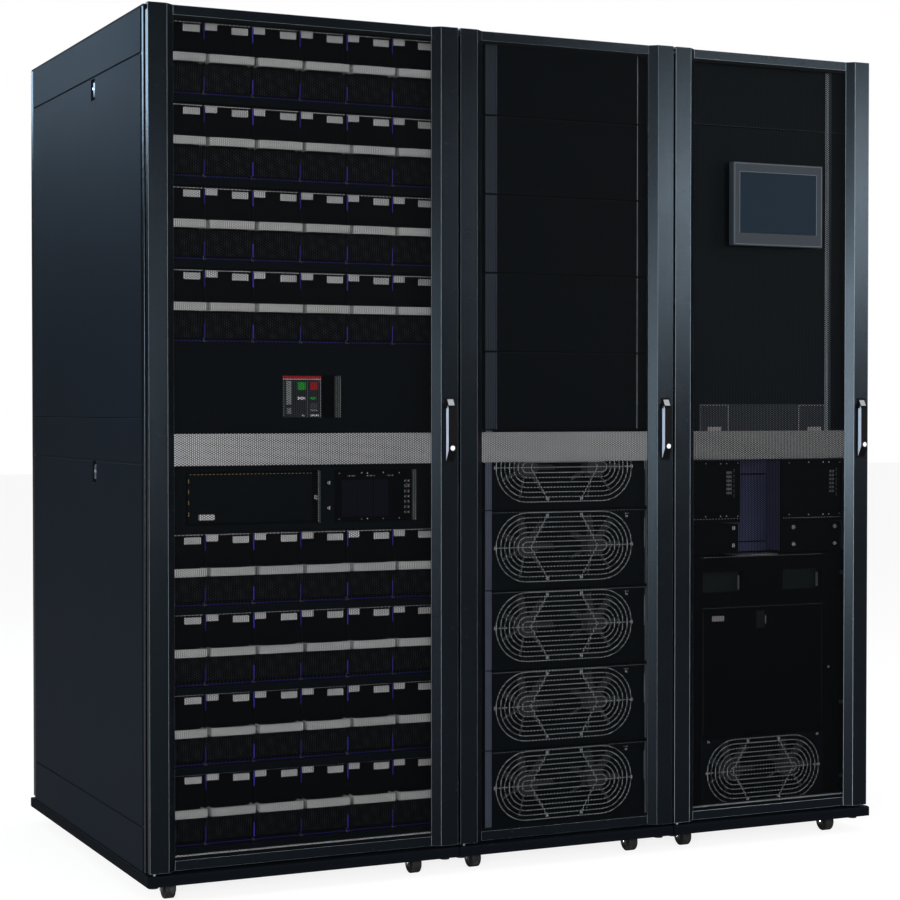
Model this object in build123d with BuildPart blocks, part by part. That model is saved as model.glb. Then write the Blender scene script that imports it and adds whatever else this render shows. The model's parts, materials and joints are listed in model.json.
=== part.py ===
# Three floor cabinets of a modular uninterruptible power supply, joined side by side:
# battery cabinet on the left, power module cabinet in the middle, bypass cabinet on the right.
# +X runs to the right along the front, +Y runs to the back, +Z is up, in millimetres.
import os

from build123d import *

os.makedirs("parts", exist_ok=True)

# Driving sizes
battery_width = 775
power_width = 600
bypass_width = 600
cabinet_depth = 1070
body_height = 1991
floor_gap = 40

# Clearances
running_gap = 0.3
cut_overrun = 1
seam_gap = 1

# Front doors
door_thickness = 18
door_side_gap = 3.5
door_bottom_gap = 5
stile_flat = 44.5
bevel_width = 19
bevel_depth = 15
door_rail_height = 22
sheet_thickness = 1.5
sheet_setback = 0.5
band_thickness = 1.2
band_height = 73
band_height_share = 0.4771

# Door pivots
pivot_inset = 12
pivot_setback = 7
door_skin = 2
pivot_pin_radius = 3.5
guide_pin_radius = 2.5
pivot_pin_length = 14
pivot_arm_thickness = 5
pivot_notch_height = 12
pivot_cap = 4
pivot_arm_side_gap = 2

# Door handles
handle_width = 20
handle_height = 150
handle_height_share = 0.5545
handle_rise = 16
handle_top_slant = 24
handle_bottom_slant = 26
handle_nose_height = 9
handle_pivot_drop = 17
handle_pivot_rise = 5
handle_pivot_round = 4.5
handle_pin_radius = 1.8
seat_width = 25
seat_margin = 4
seat_thickness = 1.5
ear_height = 12
ear_round = 3.5
lock_radius = 6
lock_height = 32
lock_rise = 2

# Display on the bypass cabinet's door
display_width = 274
display_height = 213
display_left = 172
display_height_share = 0.7524
display_proud = 5
screen_side_margin = 20
screen_top_margin = 25
screen_bottom_margin = 33
screen_recess = 2

# Cabinet frames
frame_setback = 29
flange_depth = 17
flange_inset = 2
post_width = 30
post_depth = 31
rail_height = 20
rail_width = 25
base_thickness = 25
roof_thickness = 4
bracket_height = 40
bracket_depth = 20
bracket_margin = 60

# Side panels and their latches
panel_thickness = 14
panel_split = 1099
panel_groove_drop = 101
panel_low_groove = 172
groove_height = 5
groove_depth = 3
latch_setback = 424
latch_width = 34
latch_height = 52
latch_drop = 106
latch_plate_width = 16
latch_plate_height = 34
latch_plate_sink = 3

# Skirts round the base
skirt_height = 25
skirt_lip = 4
skirt_depth = 35
end_skirt_depth = 20
skirt_round = 5

# Casters and levelling feet
wheel_radius = 25
wheel_width = 24
wheel_round = 3
axle_radius = 4
fork_wall = 3
fork_side_gap = 1.5
fork_plate = 5
fork_plate_length = 46
fork_leg_half = 11
left_caster_inset = 62
right_caster_inset = 97
caster_setback = 55
foot_inset = 22
foot_setback = 38
foot_radius = 12
foot_pad = 6
foot_stud_radius = 5
foot_clearance = 30

# Rear doors
rear_stile = 50
rear_recess = 12

# Battery bay
battery_columns = 6
battery_rows = 4
column_end_gap = 33.5
column_shift = 1.5
module_gap = 4
module_setback = 62
module_back_gap = 128
module_lip = 8
grille_setback = 10
row_head_gap = 18.3
upper_row_rise = 11
upper_block_top_gap = 25.9
lower_row_rise = 22
lower_block_top_gap = 4.1
shelf_thickness = 3
shelf_lip = 18
shelf_setback = 50
shelf_back_gap = 70
grip_height = 19
grip_thickness = 10
grip_proud = 35
grip_side_gap = 4.5
grip_leg = 6
grip_top_drop = 76

# Battery switchgear between the two blocks of modules
switch_panel_drop = 154.9
switch_panel_height = 427
switch_panel_setback = 57
switch_panel_thickness = 3
window_wall = 1.5
breaker_window_left_share = 0.44323
breaker_window_width_share = 0.19226
breaker_window_rise = 263
breaker_window_height = 101
breaker_recess = 59
breaker_setback = 5
breaker_width = 97.5
breaker_side_gap = 3.5
breaker_end_gap = 1.5
terminal_window_rise = 16
terminal_window_height = 124
left_window_left_share = 0.14065
left_window_width_share = 0.4271
left_window_recess = 18
right_window_left_share = 0.61226
right_window_width_share = 0.27742
right_window_recess = 29
terminal_box_depth = 110
floor_ledge_height = 12
floor_ledge_depth = 11
floor_ledge_setback = 30

# Power modules and the blank panels above them
power_module_side_gap = 72
power_module_shift = 11
power_fan_shift = -8
power_module_pitch = 196
power_module_count = 5
power_module_setback = 32
power_module_back_gap = 278
blank_panel_count = 4
blank_panel_depth = 20
top_blank_trim = 19
blank_top_gap = 25
stack_gap = 3
cheek_setback = 45
cheek_thickness = 4
light_rail_thickness = 2
left_rail_left = 84
left_rail_width = 17
right_rail_left = 546
right_rail_width = 5
bypass_rail_left = 493
bypass_rail_width = 18

# Fans and their wire guards
fan_pocket_radius = 82
fan_pocket_depth = 40
fan_spacing = 190
fan_hub_radius = 26
fan_hub_length = 34
fan_blade_root = 4
fan_blade_count = 7
fan_blade_thickness = 2
fan_blade_depth = 20
fan_blade_angle = 35
fan_tip_gap = 4
guard_width = 383
guard_height = 172
guard_wire = 2.6
guard_ring_pitch = 12
guard_ring_count = 7
guard_tab = 9
guard_tab_spread = 48
fan_rise = 5

# Bypass cabinet
bypass_module_width = 378
bypass_module_bottom = 268
bypass_module_top = 738
bypass_module_setback = 45
bypass_module_back_gap = 405
bypass_pull_width = 125
bypass_pull_height = 56
bypass_pull_depth = 30
bypass_pull_inset = 4
bypass_pull_bottom = 643
bypass_catch_width = 30
bypass_catch_height = 47
bypass_catch_depth = 8
bypass_catch_left = 168
bypass_catch_bottom = 547
bypass_fan_bottom = 94
bypass_guard_width = 348
bypass_guard_height = 168
bypass_fan_spacing = 176
bypass_fan_radius = 78
bypass_fan_box_height = 172
bypass_panel_split_drop = 184
bypass_panel_bottom = 1056
bypass_panel_top_gap = 27
bypass_panel_setback = 50
bypass_panel_thickness = 9
label_plate_height = 76
label_plate_left = 104
label_plate_width = 387
label_plate_thickness = 4
bay_wall = 2
bay_front_setback = 57
bay_back_setback = 120
bay_bottom = 745
bay_top = 1050
bay_left_box_width = 193
bay_right_box_left = 357
bay_right_box_width = 190
bay_box_bottom = 826
bay_box_height = 158
bay_box_setback = 44
bay_block_height = 76
bay_block_setback = 52

# Places worked out from the sizes above
total_width = battery_width + power_width + bypass_width
skirt_bottom = floor_gap
skirt_top = floor_gap + skirt_height
body_top = floor_gap + body_height
front_face = (handle_rise + lock_rise - cabinet_depth - skirt_lip) / 2
rear_face = front_face + cabinet_depth
battery_left = -total_width / 2
power_left = battery_left + battery_width
bypass_left = power_left + power_width
cabinets = (
    (battery_left, battery_width),
    (power_left, power_width),
    (bypass_left, bypass_width),
)
frame_front = front_face + frame_setback
frame_rear = rear_face - door_thickness
post_top = body_top - roof_thickness
base_top = skirt_top + base_thickness
door_bottom = skirt_top + door_bottom_gap
door_back = front_face + door_thickness
sheet_front = front_face + bevel_depth + sheet_setback
sheet_back = sheet_front + sheet_thickness
stile_width = stile_flat + bevel_width
band_bottom = floor_gap + body_height * band_height_share
handle_top = floor_gap + body_height * handle_height_share
display_bottom = floor_gap + body_height * display_height_share
column_pitch = (battery_width - 2 * column_end_gap) / battery_columns
switch_panel_bottom = band_bottom - switch_panel_drop
switch_panel_top = switch_panel_bottom + switch_panel_height
lower_row_bottom = base_top + lower_row_rise
lower_block_height = switch_panel_bottom - lower_block_top_gap - lower_row_bottom
lower_row_pitch = (lower_block_height + row_head_gap) / battery_rows
module_height = lower_row_pitch - row_head_gap
upper_row_bottom = switch_panel_top + upper_row_rise
top_row_bottom = body_top - upper_block_top_gap - module_height
upper_row_pitch = (top_row_bottom - upper_row_bottom) / (battery_rows - 1)
bypass_panel_top = body_top - bypass_panel_top_gap
bypass_panel_split = body_top - bypass_panel_split_drop
module_depth = cabinet_depth - module_setback - module_back_gap
power_module_width = power_width - 2 * power_module_side_gap
power_module_depth = cabinet_depth - power_module_setback - power_module_back_gap
bypass_module_depth = cabinet_depth - bypass_module_setback - bypass_module_back_gap
post_inner = post_width + flange_inset
row_ends = (battery_left, battery_left + total_width)
standing = (Align.CENTER, Align.CENTER, Align.MIN)


def block(low, high, mode=Mode.ADD):
    # A rectangular block between two opposite corners
    centre = tuple((a + b) / 2 for a, b in zip(low, high))
    with Locations(centre):
        Box(*(b - a for a, b in zip(low, high)), mode=mode)


def finish(part, name):
    part.label = name
    export_step(part, f"parts/{name}.step")


# Corner posts: an outer flange that shows beside the side panel, and a narrower leg behind it
def post_corners(cabinet_left, cabinet_width):
    cabinet_right = cabinet_left + cabinet_width
    return (
        (cabinet_left, 1, frame_front, 1),
        (cabinet_right, -1, frame_front, 1),
        (cabinet_left, 1, frame_rear, -1),
        (cabinet_right, -1, frame_rear, -1),
    )


def span(start, first, last, direction):
    # Two ends measured from a face towards the inside, lowest first
    ends = (start + direction * first, start + direction * last)
    return min(ends), max(ends)


def leg_inset(x):
    # The frame leaves room for the side panel at both ends of the row
    return panel_thickness if x in row_ends else flange_inset


with BuildPart() as posts:
    for cabinet_left, cabinet_width in cabinets:
        for x, x_way, y, y_way in post_corners(cabinet_left, cabinet_width):
            flange_x = span(x, flange_inset, post_width + flange_inset, x_way)
            leg_x = span(x, leg_inset(x), post_width + flange_inset, x_way)
            flange_y = span(y, 0, flange_depth, y_way)
            leg_y = span(y, 0, post_depth, y_way)
            block((flange_x[0], flange_y[0], skirt_top), (flange_x[1], flange_y[1], post_top))
            block((leg_x[0], leg_y[0], skirt_top), (leg_x[1], leg_y[1], post_top))
finish(posts.part, "corner_posts")

# Top rails between the posts of each cabinet
with BuildPart() as rails:
    for cabinet_left, cabinet_width in cabinets:
        cabinet_right = cabinet_left + cabinet_width
        for y_low, y_high in (
            (frame_front, frame_front + rail_width),
            (frame_rear - rail_width, frame_rear),
        ):
            block(
                (cabinet_left + post_inner, y_low, post_top - rail_height),
                (cabinet_right - post_inner, y_high, post_top),
            )
        for x, x_way in ((cabinet_left, 1), (cabinet_right, -1)):
            side_x = span(x, leg_inset(x), post_inner, x_way)
            block(
                (side_x[0], frame_front + post_depth, post_top - rail_height),
                (side_x[1], frame_rear - post_depth, post_top),
            )
finish(rails.part, "top_rails")

# Base slab of each cabinet, cut round the four posts
with BuildPart() as bases:
    for cabinet_left, cabinet_width in cabinets:
        cabinet_right = cabinet_left + cabinet_width
        block(
            (cabinet_left + leg_inset(cabinet_left), frame_front + post_depth, skirt_top),
            (cabinet_right - leg_inset(cabinet_right), frame_rear - post_depth, base_top),
        )
        block(
            (cabinet_left + post_inner, frame_front, skirt_top),
            (cabinet_right - post_inner, frame_rear, base_top),
        )
finish(bases.part, "base_frames")

# Roof sheets
with BuildPart() as roofs:
    for cabinet_left, cabinet_width in cabinets:
        block(
            (cabinet_left + seam_gap, frame_front, post_top),
            (cabinet_left + cabinet_width - seam_gap, frame_rear, body_top),
        )
finish(roofs.part, "roof_panels")

# Brackets that join the posts of neighbouring cabinets
with BuildPart() as brackets:
    for x in (power_left, bypass_left):
        for y_low in (frame_front, frame_rear - bracket_depth):
            for z_low in (skirt_top + bracket_margin, post_top - bracket_margin - bracket_height):
                block(
                    (x - flange_inset, y_low, z_low),
                    (x + flange_inset, y_low + bracket_depth, z_low + bracket_height),
                )
finish(brackets.part, "joining_brackets")


# Skirts: a rounded lip stands proud of the doors in front and behind, and of both ends of the row
def skirt_ends(cabinet_left, cabinet_width):
    cabinet_right = cabinet_left + cabinet_width
    low = cabinet_left - skirt_lip if cabinet_left == battery_left else cabinet_left + seam_gap
    high = cabinet_right + skirt_lip if cabinet_left == bypass_left else cabinet_right - seam_gap
    return low, high


with BuildPart() as skirts:
    for cabinet_left, cabinet_width in cabinets:
        x_low, x_high = skirt_ends(cabinet_left, cabinet_width)
        block(
            (x_low, front_face - skirt_lip, skirt_bottom),
            (x_high, front_face - skirt_lip + skirt_depth, skirt_top),
        )
        block(
            (x_low, rear_face + skirt_lip - skirt_depth, skirt_bottom),
            (x_high, rear_face + skirt_lip, skirt_top),
        )
    top_edges = skirts.edges().filter_by(Axis.X).group_by(Axis.Z)[-1].sort_by(Axis.Y)
    outer_edges = top_edges[:len(cabinets)] + top_edges[-len(cabinets):]
    fillet(outer_edges, skirt_round)
finish(skirts.part, "front_and_rear_skirts")

with BuildPart() as end_skirts:
    for x, x_way in zip(row_ends, (1, -1)):
        end_x = span(x, -skirt_lip, end_skirt_depth - skirt_lip, x_way)
        block(
            (end_x[0], front_face - skirt_lip + skirt_depth, skirt_bottom),
            (end_x[1], rear_face + skirt_lip - skirt_depth, skirt_top),
        )
    end_edges = end_skirts.edges().filter_by(Axis.Y).group_by(Axis.Z)[-1].sort_by(Axis.X)
    fillet([end_edges[0], end_edges[-1]], skirt_round)
finish(end_skirts.part, "end_skirts")

# Side panels at both ends of the row, with their grooves and latch slots
panel_front = frame_front + flange_depth + seam_gap
panel_rear = frame_rear - flange_depth - seam_gap
panel_bottom = skirt_top + seam_gap
panel_top = post_top - seam_gap
panel_groups = (
    (panel_bottom, panel_split - seam_gap / 2),
    (panel_split + seam_gap / 2, panel_top),
)
latch_front = front_face + latch_setback
for side_name, x, x_way in zip(("left", "right"), row_ends, (1, -1)):
    panel_x = span(x, 0, panel_thickness, x_way)
    groove_x = span(x, -cut_overrun, groove_depth, x_way)
    slot_x = span(x, -cut_overrun, panel_thickness - sheet_thickness, x_way)
    with BuildPart() as side_panels:
        for z_low, z_high in panel_groups:
            block((panel_x[0], panel_front, z_low), (panel_x[1], panel_rear, z_high))
            groove_z = z_high - panel_groove_drop
            slot_z = z_high - latch_drop
            block(
                (groove_x[0], panel_front - cut_overrun, groove_z - groove_height),
                (groove_x[1], panel_rear + cut_overrun, groove_z),
                mode=Mode.SUBTRACT,
            )
            block(
                (slot_x[0], latch_front, slot_z - latch_height),
                (slot_x[1], latch_front + latch_width, slot_z),
                mode=Mode.SUBTRACT,
            )
        block(
            (groove_x[0], panel_front - cut_overrun, panel_low_groove - groove_height),
            (groove_x[1], panel_rear + cut_overrun, panel_low_groove),
            mode=Mode.SUBTRACT,
        )
    finish(side_panels.part, f"{side_name}_side_panels")

# Latch plates in the slots of the side panels
with BuildPart() as latches:
    for x, x_way in zip(row_ends, (1, -1)):
        plate_x = span(x, latch_plate_sink, panel_thickness - sheet_thickness, x_way)
        plate_y = latch_front + (latch_width - latch_plate_width) / 2
        for z_low, z_high in panel_groups:
            plate_top = z_high - latch_drop - (latch_height - latch_plate_height) / 2
            block(
                (plate_x[0], plate_y, plate_top - latch_plate_height),
                (plate_x[1], plate_y + latch_plate_width, plate_top),
            )
finish(latches.part, "side_panel_latches")

# Casters: forks with their axles, and wheels on them
caster_places = [
    (x, y)
    for cabinet_left, cabinet_width in cabinets
    for x in (
        cabinet_left + left_caster_inset,
        cabinet_left + cabinet_width - right_caster_inset,
    )
    for y in (front_face + caster_setback, rear_face - caster_setback)
]
fork_half = wheel_width / 2 + fork_side_gap
with BuildPart() as forks:
    for x, y in caster_places:
        block(
            (x - fork_plate_length / 2, y - fork_plate_length / 2, skirt_top - fork_plate),
            (x + fork_plate_length / 2, y + fork_plate_length / 2, skirt_top),
        )
        for leg_x in (x - fork_half - fork_wall, x + fork_half):
            block(
                (leg_x, y - fork_leg_half, wheel_radius - axle_radius * 2),
                (leg_x + fork_wall, y + fork_leg_half, skirt_top - fork_plate),
            )
        with Locations(Location((x, y, wheel_radius), (0, 90, 0))):
            Cylinder(axle_radius, 2 * fork_half)
finish(forks.part, "caster_forks")

with BuildPart() as wheel:
    Cylinder(wheel_radius, wheel_width, rotation=(0, 90, 0))
    Cylinder(axle_radius + running_gap, wheel_width, rotation=(0, 90, 0), mode=Mode.SUBTRACT)
    rims = wheel.edges().filter_by(GeomType.CIRCLE).sort_by(SortBy.RADIUS)[-2:]
    fillet(rims, wheel_round)
with BuildPart() as wheels:
    with Locations(*((x, y, wheel_radius) for x, y in caster_places)):
        add(wheel.part)
finish(wheels.part, "caster_wheels")

# Levelling feet, screwed up clear of the floor
with BuildPart() as feet:
    for cabinet_left, cabinet_width in cabinets:
        for x in (cabinet_left + foot_inset, cabinet_left + cabinet_width - foot_inset):
            for y in (front_face + foot_setback, rear_face - foot_setback):
                with Locations((x, y, foot_clearance)):
                    Cylinder(foot_radius, foot_pad, align=standing)
                    Cylinder(foot_stud_radius, skirt_top - foot_clearance, align=standing)
finish(feet.part, "levelling_feet")

# Pivots of the front doors: a pin on the skirt below, an arm with a guide pin above
pivot_y = front_face + pivot_setback
arm_half = guide_pin_radius + seam_gap
notch_top = body_top - pivot_cap
notch_bottom = notch_top - pivot_notch_height
arm_bottom = notch_bottom + (pivot_notch_height - pivot_arm_thickness) / 2
with BuildPart() as pivots:
    for cabinet_left, cabinet_width in cabinets:
        pivot_x = cabinet_left + door_side_gap + pivot_inset
        with Locations((pivot_x, pivot_y, skirt_top)):
            Cylinder(pivot_pin_radius, door_bottom_gap + pivot_pin_length, align=standing)
        with Locations((pivot_x, pivot_y, arm_bottom)):
            Cylinder(arm_half, pivot_arm_thickness, align=standing)
        with Locations((pivot_x, pivot_y, notch_bottom - pivot_pin_length)):
            Cylinder(guide_pin_radius, arm_bottom - notch_bottom + pivot_pin_length, align=standing)
        block(
            (pivot_x - arm_half, pivot_y, arm_bottom),
            (pivot_x + arm_half, frame_front, arm_bottom + pivot_arm_thickness),
        )
finish(pivots.part, "door_pivots")


# Front doors: a pressed frame with bevelled stiles, set on its pivots
def door_ends(cabinet_left, cabinet_width):
    return cabinet_left + door_side_gap, cabinet_left + cabinet_width - door_side_gap


def stile_outline(edge_x, way):
    flat_x = edge_x + way * stile_flat
    inner_x = flat_x + way * bevel_width
    return (
        (edge_x, front_face),
        (flat_x, front_face),
        (inner_x, front_face + bevel_depth),
        (inner_x, door_back),
        (edge_x, door_back),
    )


def door_frame(cabinet_left, cabinet_width):
    left, right = door_ends(cabinet_left, cabinet_width)
    pivot_x = left + pivot_inset
    with BuildPart() as frame:
        with BuildSketch(Plane.XY.offset(door_bottom)):
            for edge_x, way in ((left, 1), (right, -1)):
                with BuildLine():
                    Polyline(*stile_outline(edge_x, way), close=True)
                make_face()
        extrude(amount=body_top - door_bottom)
        for z_low, z_high in (
            (door_bottom, door_bottom + door_rail_height),
            (body_top - door_rail_height, body_top),
        ):
            block(
                (left + stile_width, front_face + bevel_depth, z_low),
                (right - stile_width, door_back, z_high),
            )
        with Locations((pivot_x, pivot_y, door_bottom)):
            Cylinder(
                pivot_pin_radius + running_gap,
                pivot_pin_length + running_gap,
                align=standing,
                mode=Mode.SUBTRACT,
            )
        block(
            (left - cut_overrun, front_face + door_skin, notch_bottom),
            (pivot_x + arm_half + pivot_arm_side_gap, door_back + cut_overrun, notch_top),
            mode=Mode.SUBTRACT,
        )
        with Locations((pivot_x, pivot_y, notch_bottom - pivot_pin_length - running_gap)):
            Cylinder(
                guide_pin_radius + running_gap,
                pivot_pin_length + cut_overrun,
                align=standing,
                mode=Mode.SUBTRACT,
            )
    return frame.part


def door_infill(cabinet_left, cabinet_width, y_low, y_high, z_low, z_high):
    # A plate across the opening between the two stiles
    left, right = door_ends(cabinet_left, cabinet_width)
    with BuildPart() as infill:
        block((left + stile_width, y_low, z_low), (right - stile_width, y_high, z_high))
    return infill.part


# Door handle: its seat carries the pivot pin between two ears and the fixed nose above
handle_back = front_face - seat_thickness
handle_front = front_face - handle_rise
handle_bottom = handle_top - handle_height
handle_pivot_y = handle_back - handle_pivot_rise
handle_pivot_z = handle_top - handle_pivot_drop


def slanted(drop):
    # Front of the upper slanted end, at a drop below the handle's top
    return handle_back - (handle_back - handle_front) * drop / handle_top_slant


def handle_seat(centre_x):
    with BuildPart() as seat:
        block(
            (centre_x - seat_width / 2, handle_back, handle_bottom - seat_margin),
            (centre_x + seat_width / 2, front_face, handle_top + seat_margin),
        )
        with BuildSketch(Plane.YZ.offset(centre_x - handle_width / 2)):
            with BuildLine():
                Polyline(
                    (handle_back, handle_top),
                    (slanted(handle_nose_height), handle_top - handle_nose_height),
                    (handle_back, handle_top - handle_nose_height),
                    close=True,
                )
            make_face()
        extrude(amount=handle_width)
        for ear_x in (centre_x - seat_width / 2, centre_x + handle_width / 2 + running_gap):
            block(
                (ear_x, handle_pivot_y - ear_round, handle_pivot_z - ear_height / 2),
                (
                    ear_x + (seat_width - handle_width) / 2 - running_gap,
                    handle_back,
                    handle_pivot_z + ear_height / 2,
                ),
            )
        with Locations((centre_x, handle_pivot_y, handle_pivot_z)):
            Cylinder(handle_pin_radius, seat_width, rotation=(0, 90, 0))
    return seat.part


def handle_bow(centre_x):
    with BuildPart() as bow:
        with BuildSketch(Plane.YZ.offset(centre_x - handle_width / 2)):
            with BuildLine():
                Polyline(
                    (handle_back - running_gap, handle_pivot_z),
                    (slanted(handle_pivot_drop), handle_pivot_z),
                    (handle_front, handle_top - handle_top_slant),
                    (handle_front, handle_bottom + handle_bottom_slant),
                    (handle_back - running_gap, handle_bottom),
                    close=True,
                )
            make_face()
            with Locations((handle_pivot_y, handle_pivot_z)):
                Circle(handle_pivot_round)
                Circle(handle_pin_radius + running_gap, mode=Mode.SUBTRACT)
        extrude(amount=handle_width)
    return bow.part


def handle_lock(centre_x):
    with BuildPart() as lock:
        with Locations((centre_x, handle_front - lock_rise / 2, handle_bottom + lock_height)):
            Cylinder(lock_radius, lock_rise, rotation=(90, 0, 0))
    return lock.part


for door_name, (cabinet_left, cabinet_width) in zip(("battery", "power", "bypass"), cabinets):
    cabinet = (cabinet_left, cabinet_width)
    handle_x = door_ends(*cabinet)[1] - stile_flat / 2
    finish(door_frame(*cabinet), f"{door_name}_door_frame")
    mesh_ends = (door_bottom + door_rail_height, body_top - door_rail_height)
    finish(door_infill(*cabinet, sheet_front, sheet_back, *mesh_ends), f"{door_name}_door_mesh")
    band_ends = (band_bottom, band_bottom + band_height)
    band_back = sheet_back + band_thickness
    finish(door_infill(*cabinet, sheet_back, band_back, *band_ends), f"{door_name}_door_band")
    finish(handle_seat(handle_x), f"{door_name}_handle_seat")
    finish(handle_bow(handle_x), f"{door_name}_door_handle")
    finish(handle_lock(handle_x), f"{door_name}_handle_lock")

# Display on the bypass door: a bezel that stands on the mesh, and the screen let into it
bezel_left = bypass_left + display_left
bezel_front = front_face - display_proud
screen_low = (bezel_left + screen_side_margin, bezel_front, display_bottom + screen_bottom_margin)
screen_high = (
    bezel_left + display_width - screen_side_margin,
    bezel_front + screen_recess,
    display_bottom + display_height - screen_top_margin,
)
with BuildPart() as bezel:
    block(
        (bezel_left, bezel_front, display_bottom),
        (bezel_left + display_width, sheet_front, display_bottom + display_height),
    )
    block(screen_low, screen_high, mode=Mode.SUBTRACT)
finish(bezel.part, "display_bezel")

with BuildPart() as screen:
    block(screen_low, screen_high)
finish(screen.part, "display_screen")

# Rear doors: a flat frame with a perforated sheet in each
with BuildPart() as rear_frames:
    for cabinet in cabinets:
        left, right = door_ends(*cabinet)
        block((left, frame_rear, door_bottom), (right, rear_face, body_top))
        block(
            (left + rear_stile, frame_rear, door_bottom + rear_stile),
            (right - rear_stile, rear_face, body_top - rear_stile),
            mode=Mode.SUBTRACT,
        )
finish(rear_frames.part, "rear_door_frames")

with BuildPart() as rear_meshes:
    for cabinet in cabinets:
        left, right = door_ends(*cabinet)
        mesh_y = rear_face - rear_recess
        block(
            (left + rear_stile, mesh_y - sheet_thickness, door_bottom + rear_stile),
            (right - rear_stile, mesh_y, body_top - rear_stile),
        )
finish(rear_meshes.part, "rear_door_meshes")

# Battery modules: a flat upper face, a grip, and a grille that slopes in below it
module_face = front_face + module_setback
bay_left = battery_left + (battery_width - battery_columns * column_pitch) / 2 + column_shift
grip_bottom = module_height - grip_top_drop - grip_height
with BuildPart() as battery_module:
    with BuildSketch(Plane.YZ):
        with BuildLine():
            Polyline(
                (0, 0),
                (0, module_lip),
                (grille_setback, module_lip),
                (0, grip_bottom),
                (0, module_height),
                (module_depth, module_height),
                (module_depth, 0),
                close=True,
            )
        make_face()
    extrude(amount=column_pitch - module_gap)

with BuildPart() as battery_grip:
    grip_width = column_pitch - 2 * grip_side_gap
    block((0, -grip_proud, 0), (grip_width, grip_thickness - grip_proud, grip_height))
    for leg_x in (0, grip_width - grip_leg):
        block((leg_x, -grip_proud, 0), (leg_x + grip_leg, 0, grip_height))


def bay_places(row_bottom, row_pitch, side_gap, height):
    return [
        (bay_left + column * column_pitch + side_gap, module_face, row_bottom + row * row_pitch + height)
        for row in range(battery_rows)
        for column in range(battery_columns)
    ]


battery_blocks = (
    ("upper", upper_row_bottom, upper_row_pitch),
    ("lower", lower_row_bottom, lower_row_pitch),
)
for block_name, row_bottom, row_pitch in battery_blocks:
    with BuildPart() as modules:
        with Locations(*bay_places(row_bottom, row_pitch, module_gap / 2, 0)):
            add(battery_module.part)
    finish(modules.part, f"{block_name}_battery_modules")
    with BuildPart() as grips:
        with Locations(*bay_places(row_bottom, row_pitch, grip_side_gap, grip_bottom)):
            add(battery_grip.part)
    finish(grips.part, f"{block_name}_battery_grips")

# Shelves with a front lip, one under each row of battery modules
with BuildPart() as shelves:
    for block_name, row_bottom, row_pitch in battery_blocks:
        for row in range(battery_rows):
            shelf_top = row_bottom + row * row_pitch
            shelf_front = front_face + shelf_setback
            shelf_left = battery_left + post_inner
            shelf_right = battery_left + battery_width - post_inner
            block(
                (shelf_left, shelf_front, shelf_top - shelf_thickness),
                (shelf_right, rear_face - shelf_back_gap, shelf_top),
            )
            block(
                (shelf_left, shelf_front, shelf_top - shelf_lip),
                (shelf_right, shelf_front + shelf_thickness, shelf_top),
            )
finish(shelves.part, "battery_shelves")

# Switch panel between the two blocks of modules, with three windows in it
switch_front = front_face + switch_panel_setback
switch_back = switch_front + switch_panel_thickness
breaker_window = (
    battery_left + battery_width * breaker_window_left_share,
    battery_width * breaker_window_width_share,
    switch_panel_bottom + breaker_window_rise,
    breaker_window_height,
    switch_front + breaker_recess,
)
terminal_windows = [
    (
        battery_left + battery_width * left_share,
        battery_width * width_share,
        switch_panel_bottom + terminal_window_rise,
        terminal_window_height,
        switch_front + recess,
    )
    for left_share, width_share, recess in (
        (left_window_left_share, left_window_width_share, left_window_recess),
        (right_window_left_share, right_window_width_share, right_window_recess),
    )
]
windows = [breaker_window, *terminal_windows]
with BuildPart() as switch_panel:
    block(
        (battery_left + post_inner, switch_front, switch_panel_bottom),
        (battery_left + battery_width - post_inner, switch_back, switch_panel_top),
    )
    for left, width, bottom, height, back in windows:
        block(
            (left, switch_front, bottom),
            (left + width, switch_back, bottom + height),
            mode=Mode.SUBTRACT,
        )
finish(switch_panel.part, "battery_switch_panel")

# Sleeves behind the windows, with a back plate behind the breaker
with BuildPart() as sleeves:
    for left, width, bottom, height, back in windows:
        block(
            (left - window_wall, switch_back, bottom - window_wall),
            (left + width + window_wall, back, bottom + height + window_wall),
        )
        block((left, switch_back, bottom), (left + width, back, bottom + height), mode=Mode.SUBTRACT)
    left, width, bottom, height, back = breaker_window
    block(
        (left - window_wall, back, bottom - window_wall),
        (left + width + window_wall, back + window_wall, bottom + height + window_wall),
    )
finish(sleeves.part, "battery_window_sleeves")

with BuildPart() as breaker:
    left, width, bottom, height, back = breaker_window
    block(
        (left + breaker_side_gap, switch_front + breaker_setback, bottom + breaker_end_gap),
        (left + breaker_side_gap + breaker_width, back, bottom + height - breaker_end_gap),
    )
finish(breaker.part, "battery_breaker")

with BuildPart() as terminals:
    for left, width, bottom, height, back in terminal_windows:
        block(
            (left - window_wall, back, bottom - window_wall),
            (left + width + window_wall, back + terminal_box_depth, bottom + height + window_wall),
        )
finish(terminals.part, "battery_terminal_boxes")

# Pale ledges on the floor of the battery and bypass cabinets
with BuildPart() as ledges:
    for ledge_left, ledge_width in (cabinets[0], cabinets[-1]):
        block(
            (ledge_left + post_inner, front_face + floor_ledge_setback, base_top),
            (
                ledge_left + ledge_width - post_inner,
                front_face + floor_ledge_setback + floor_ledge_depth,
                base_top + floor_ledge_height,
            ),
        )
finish(ledges.part, "floor_ledges")

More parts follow.
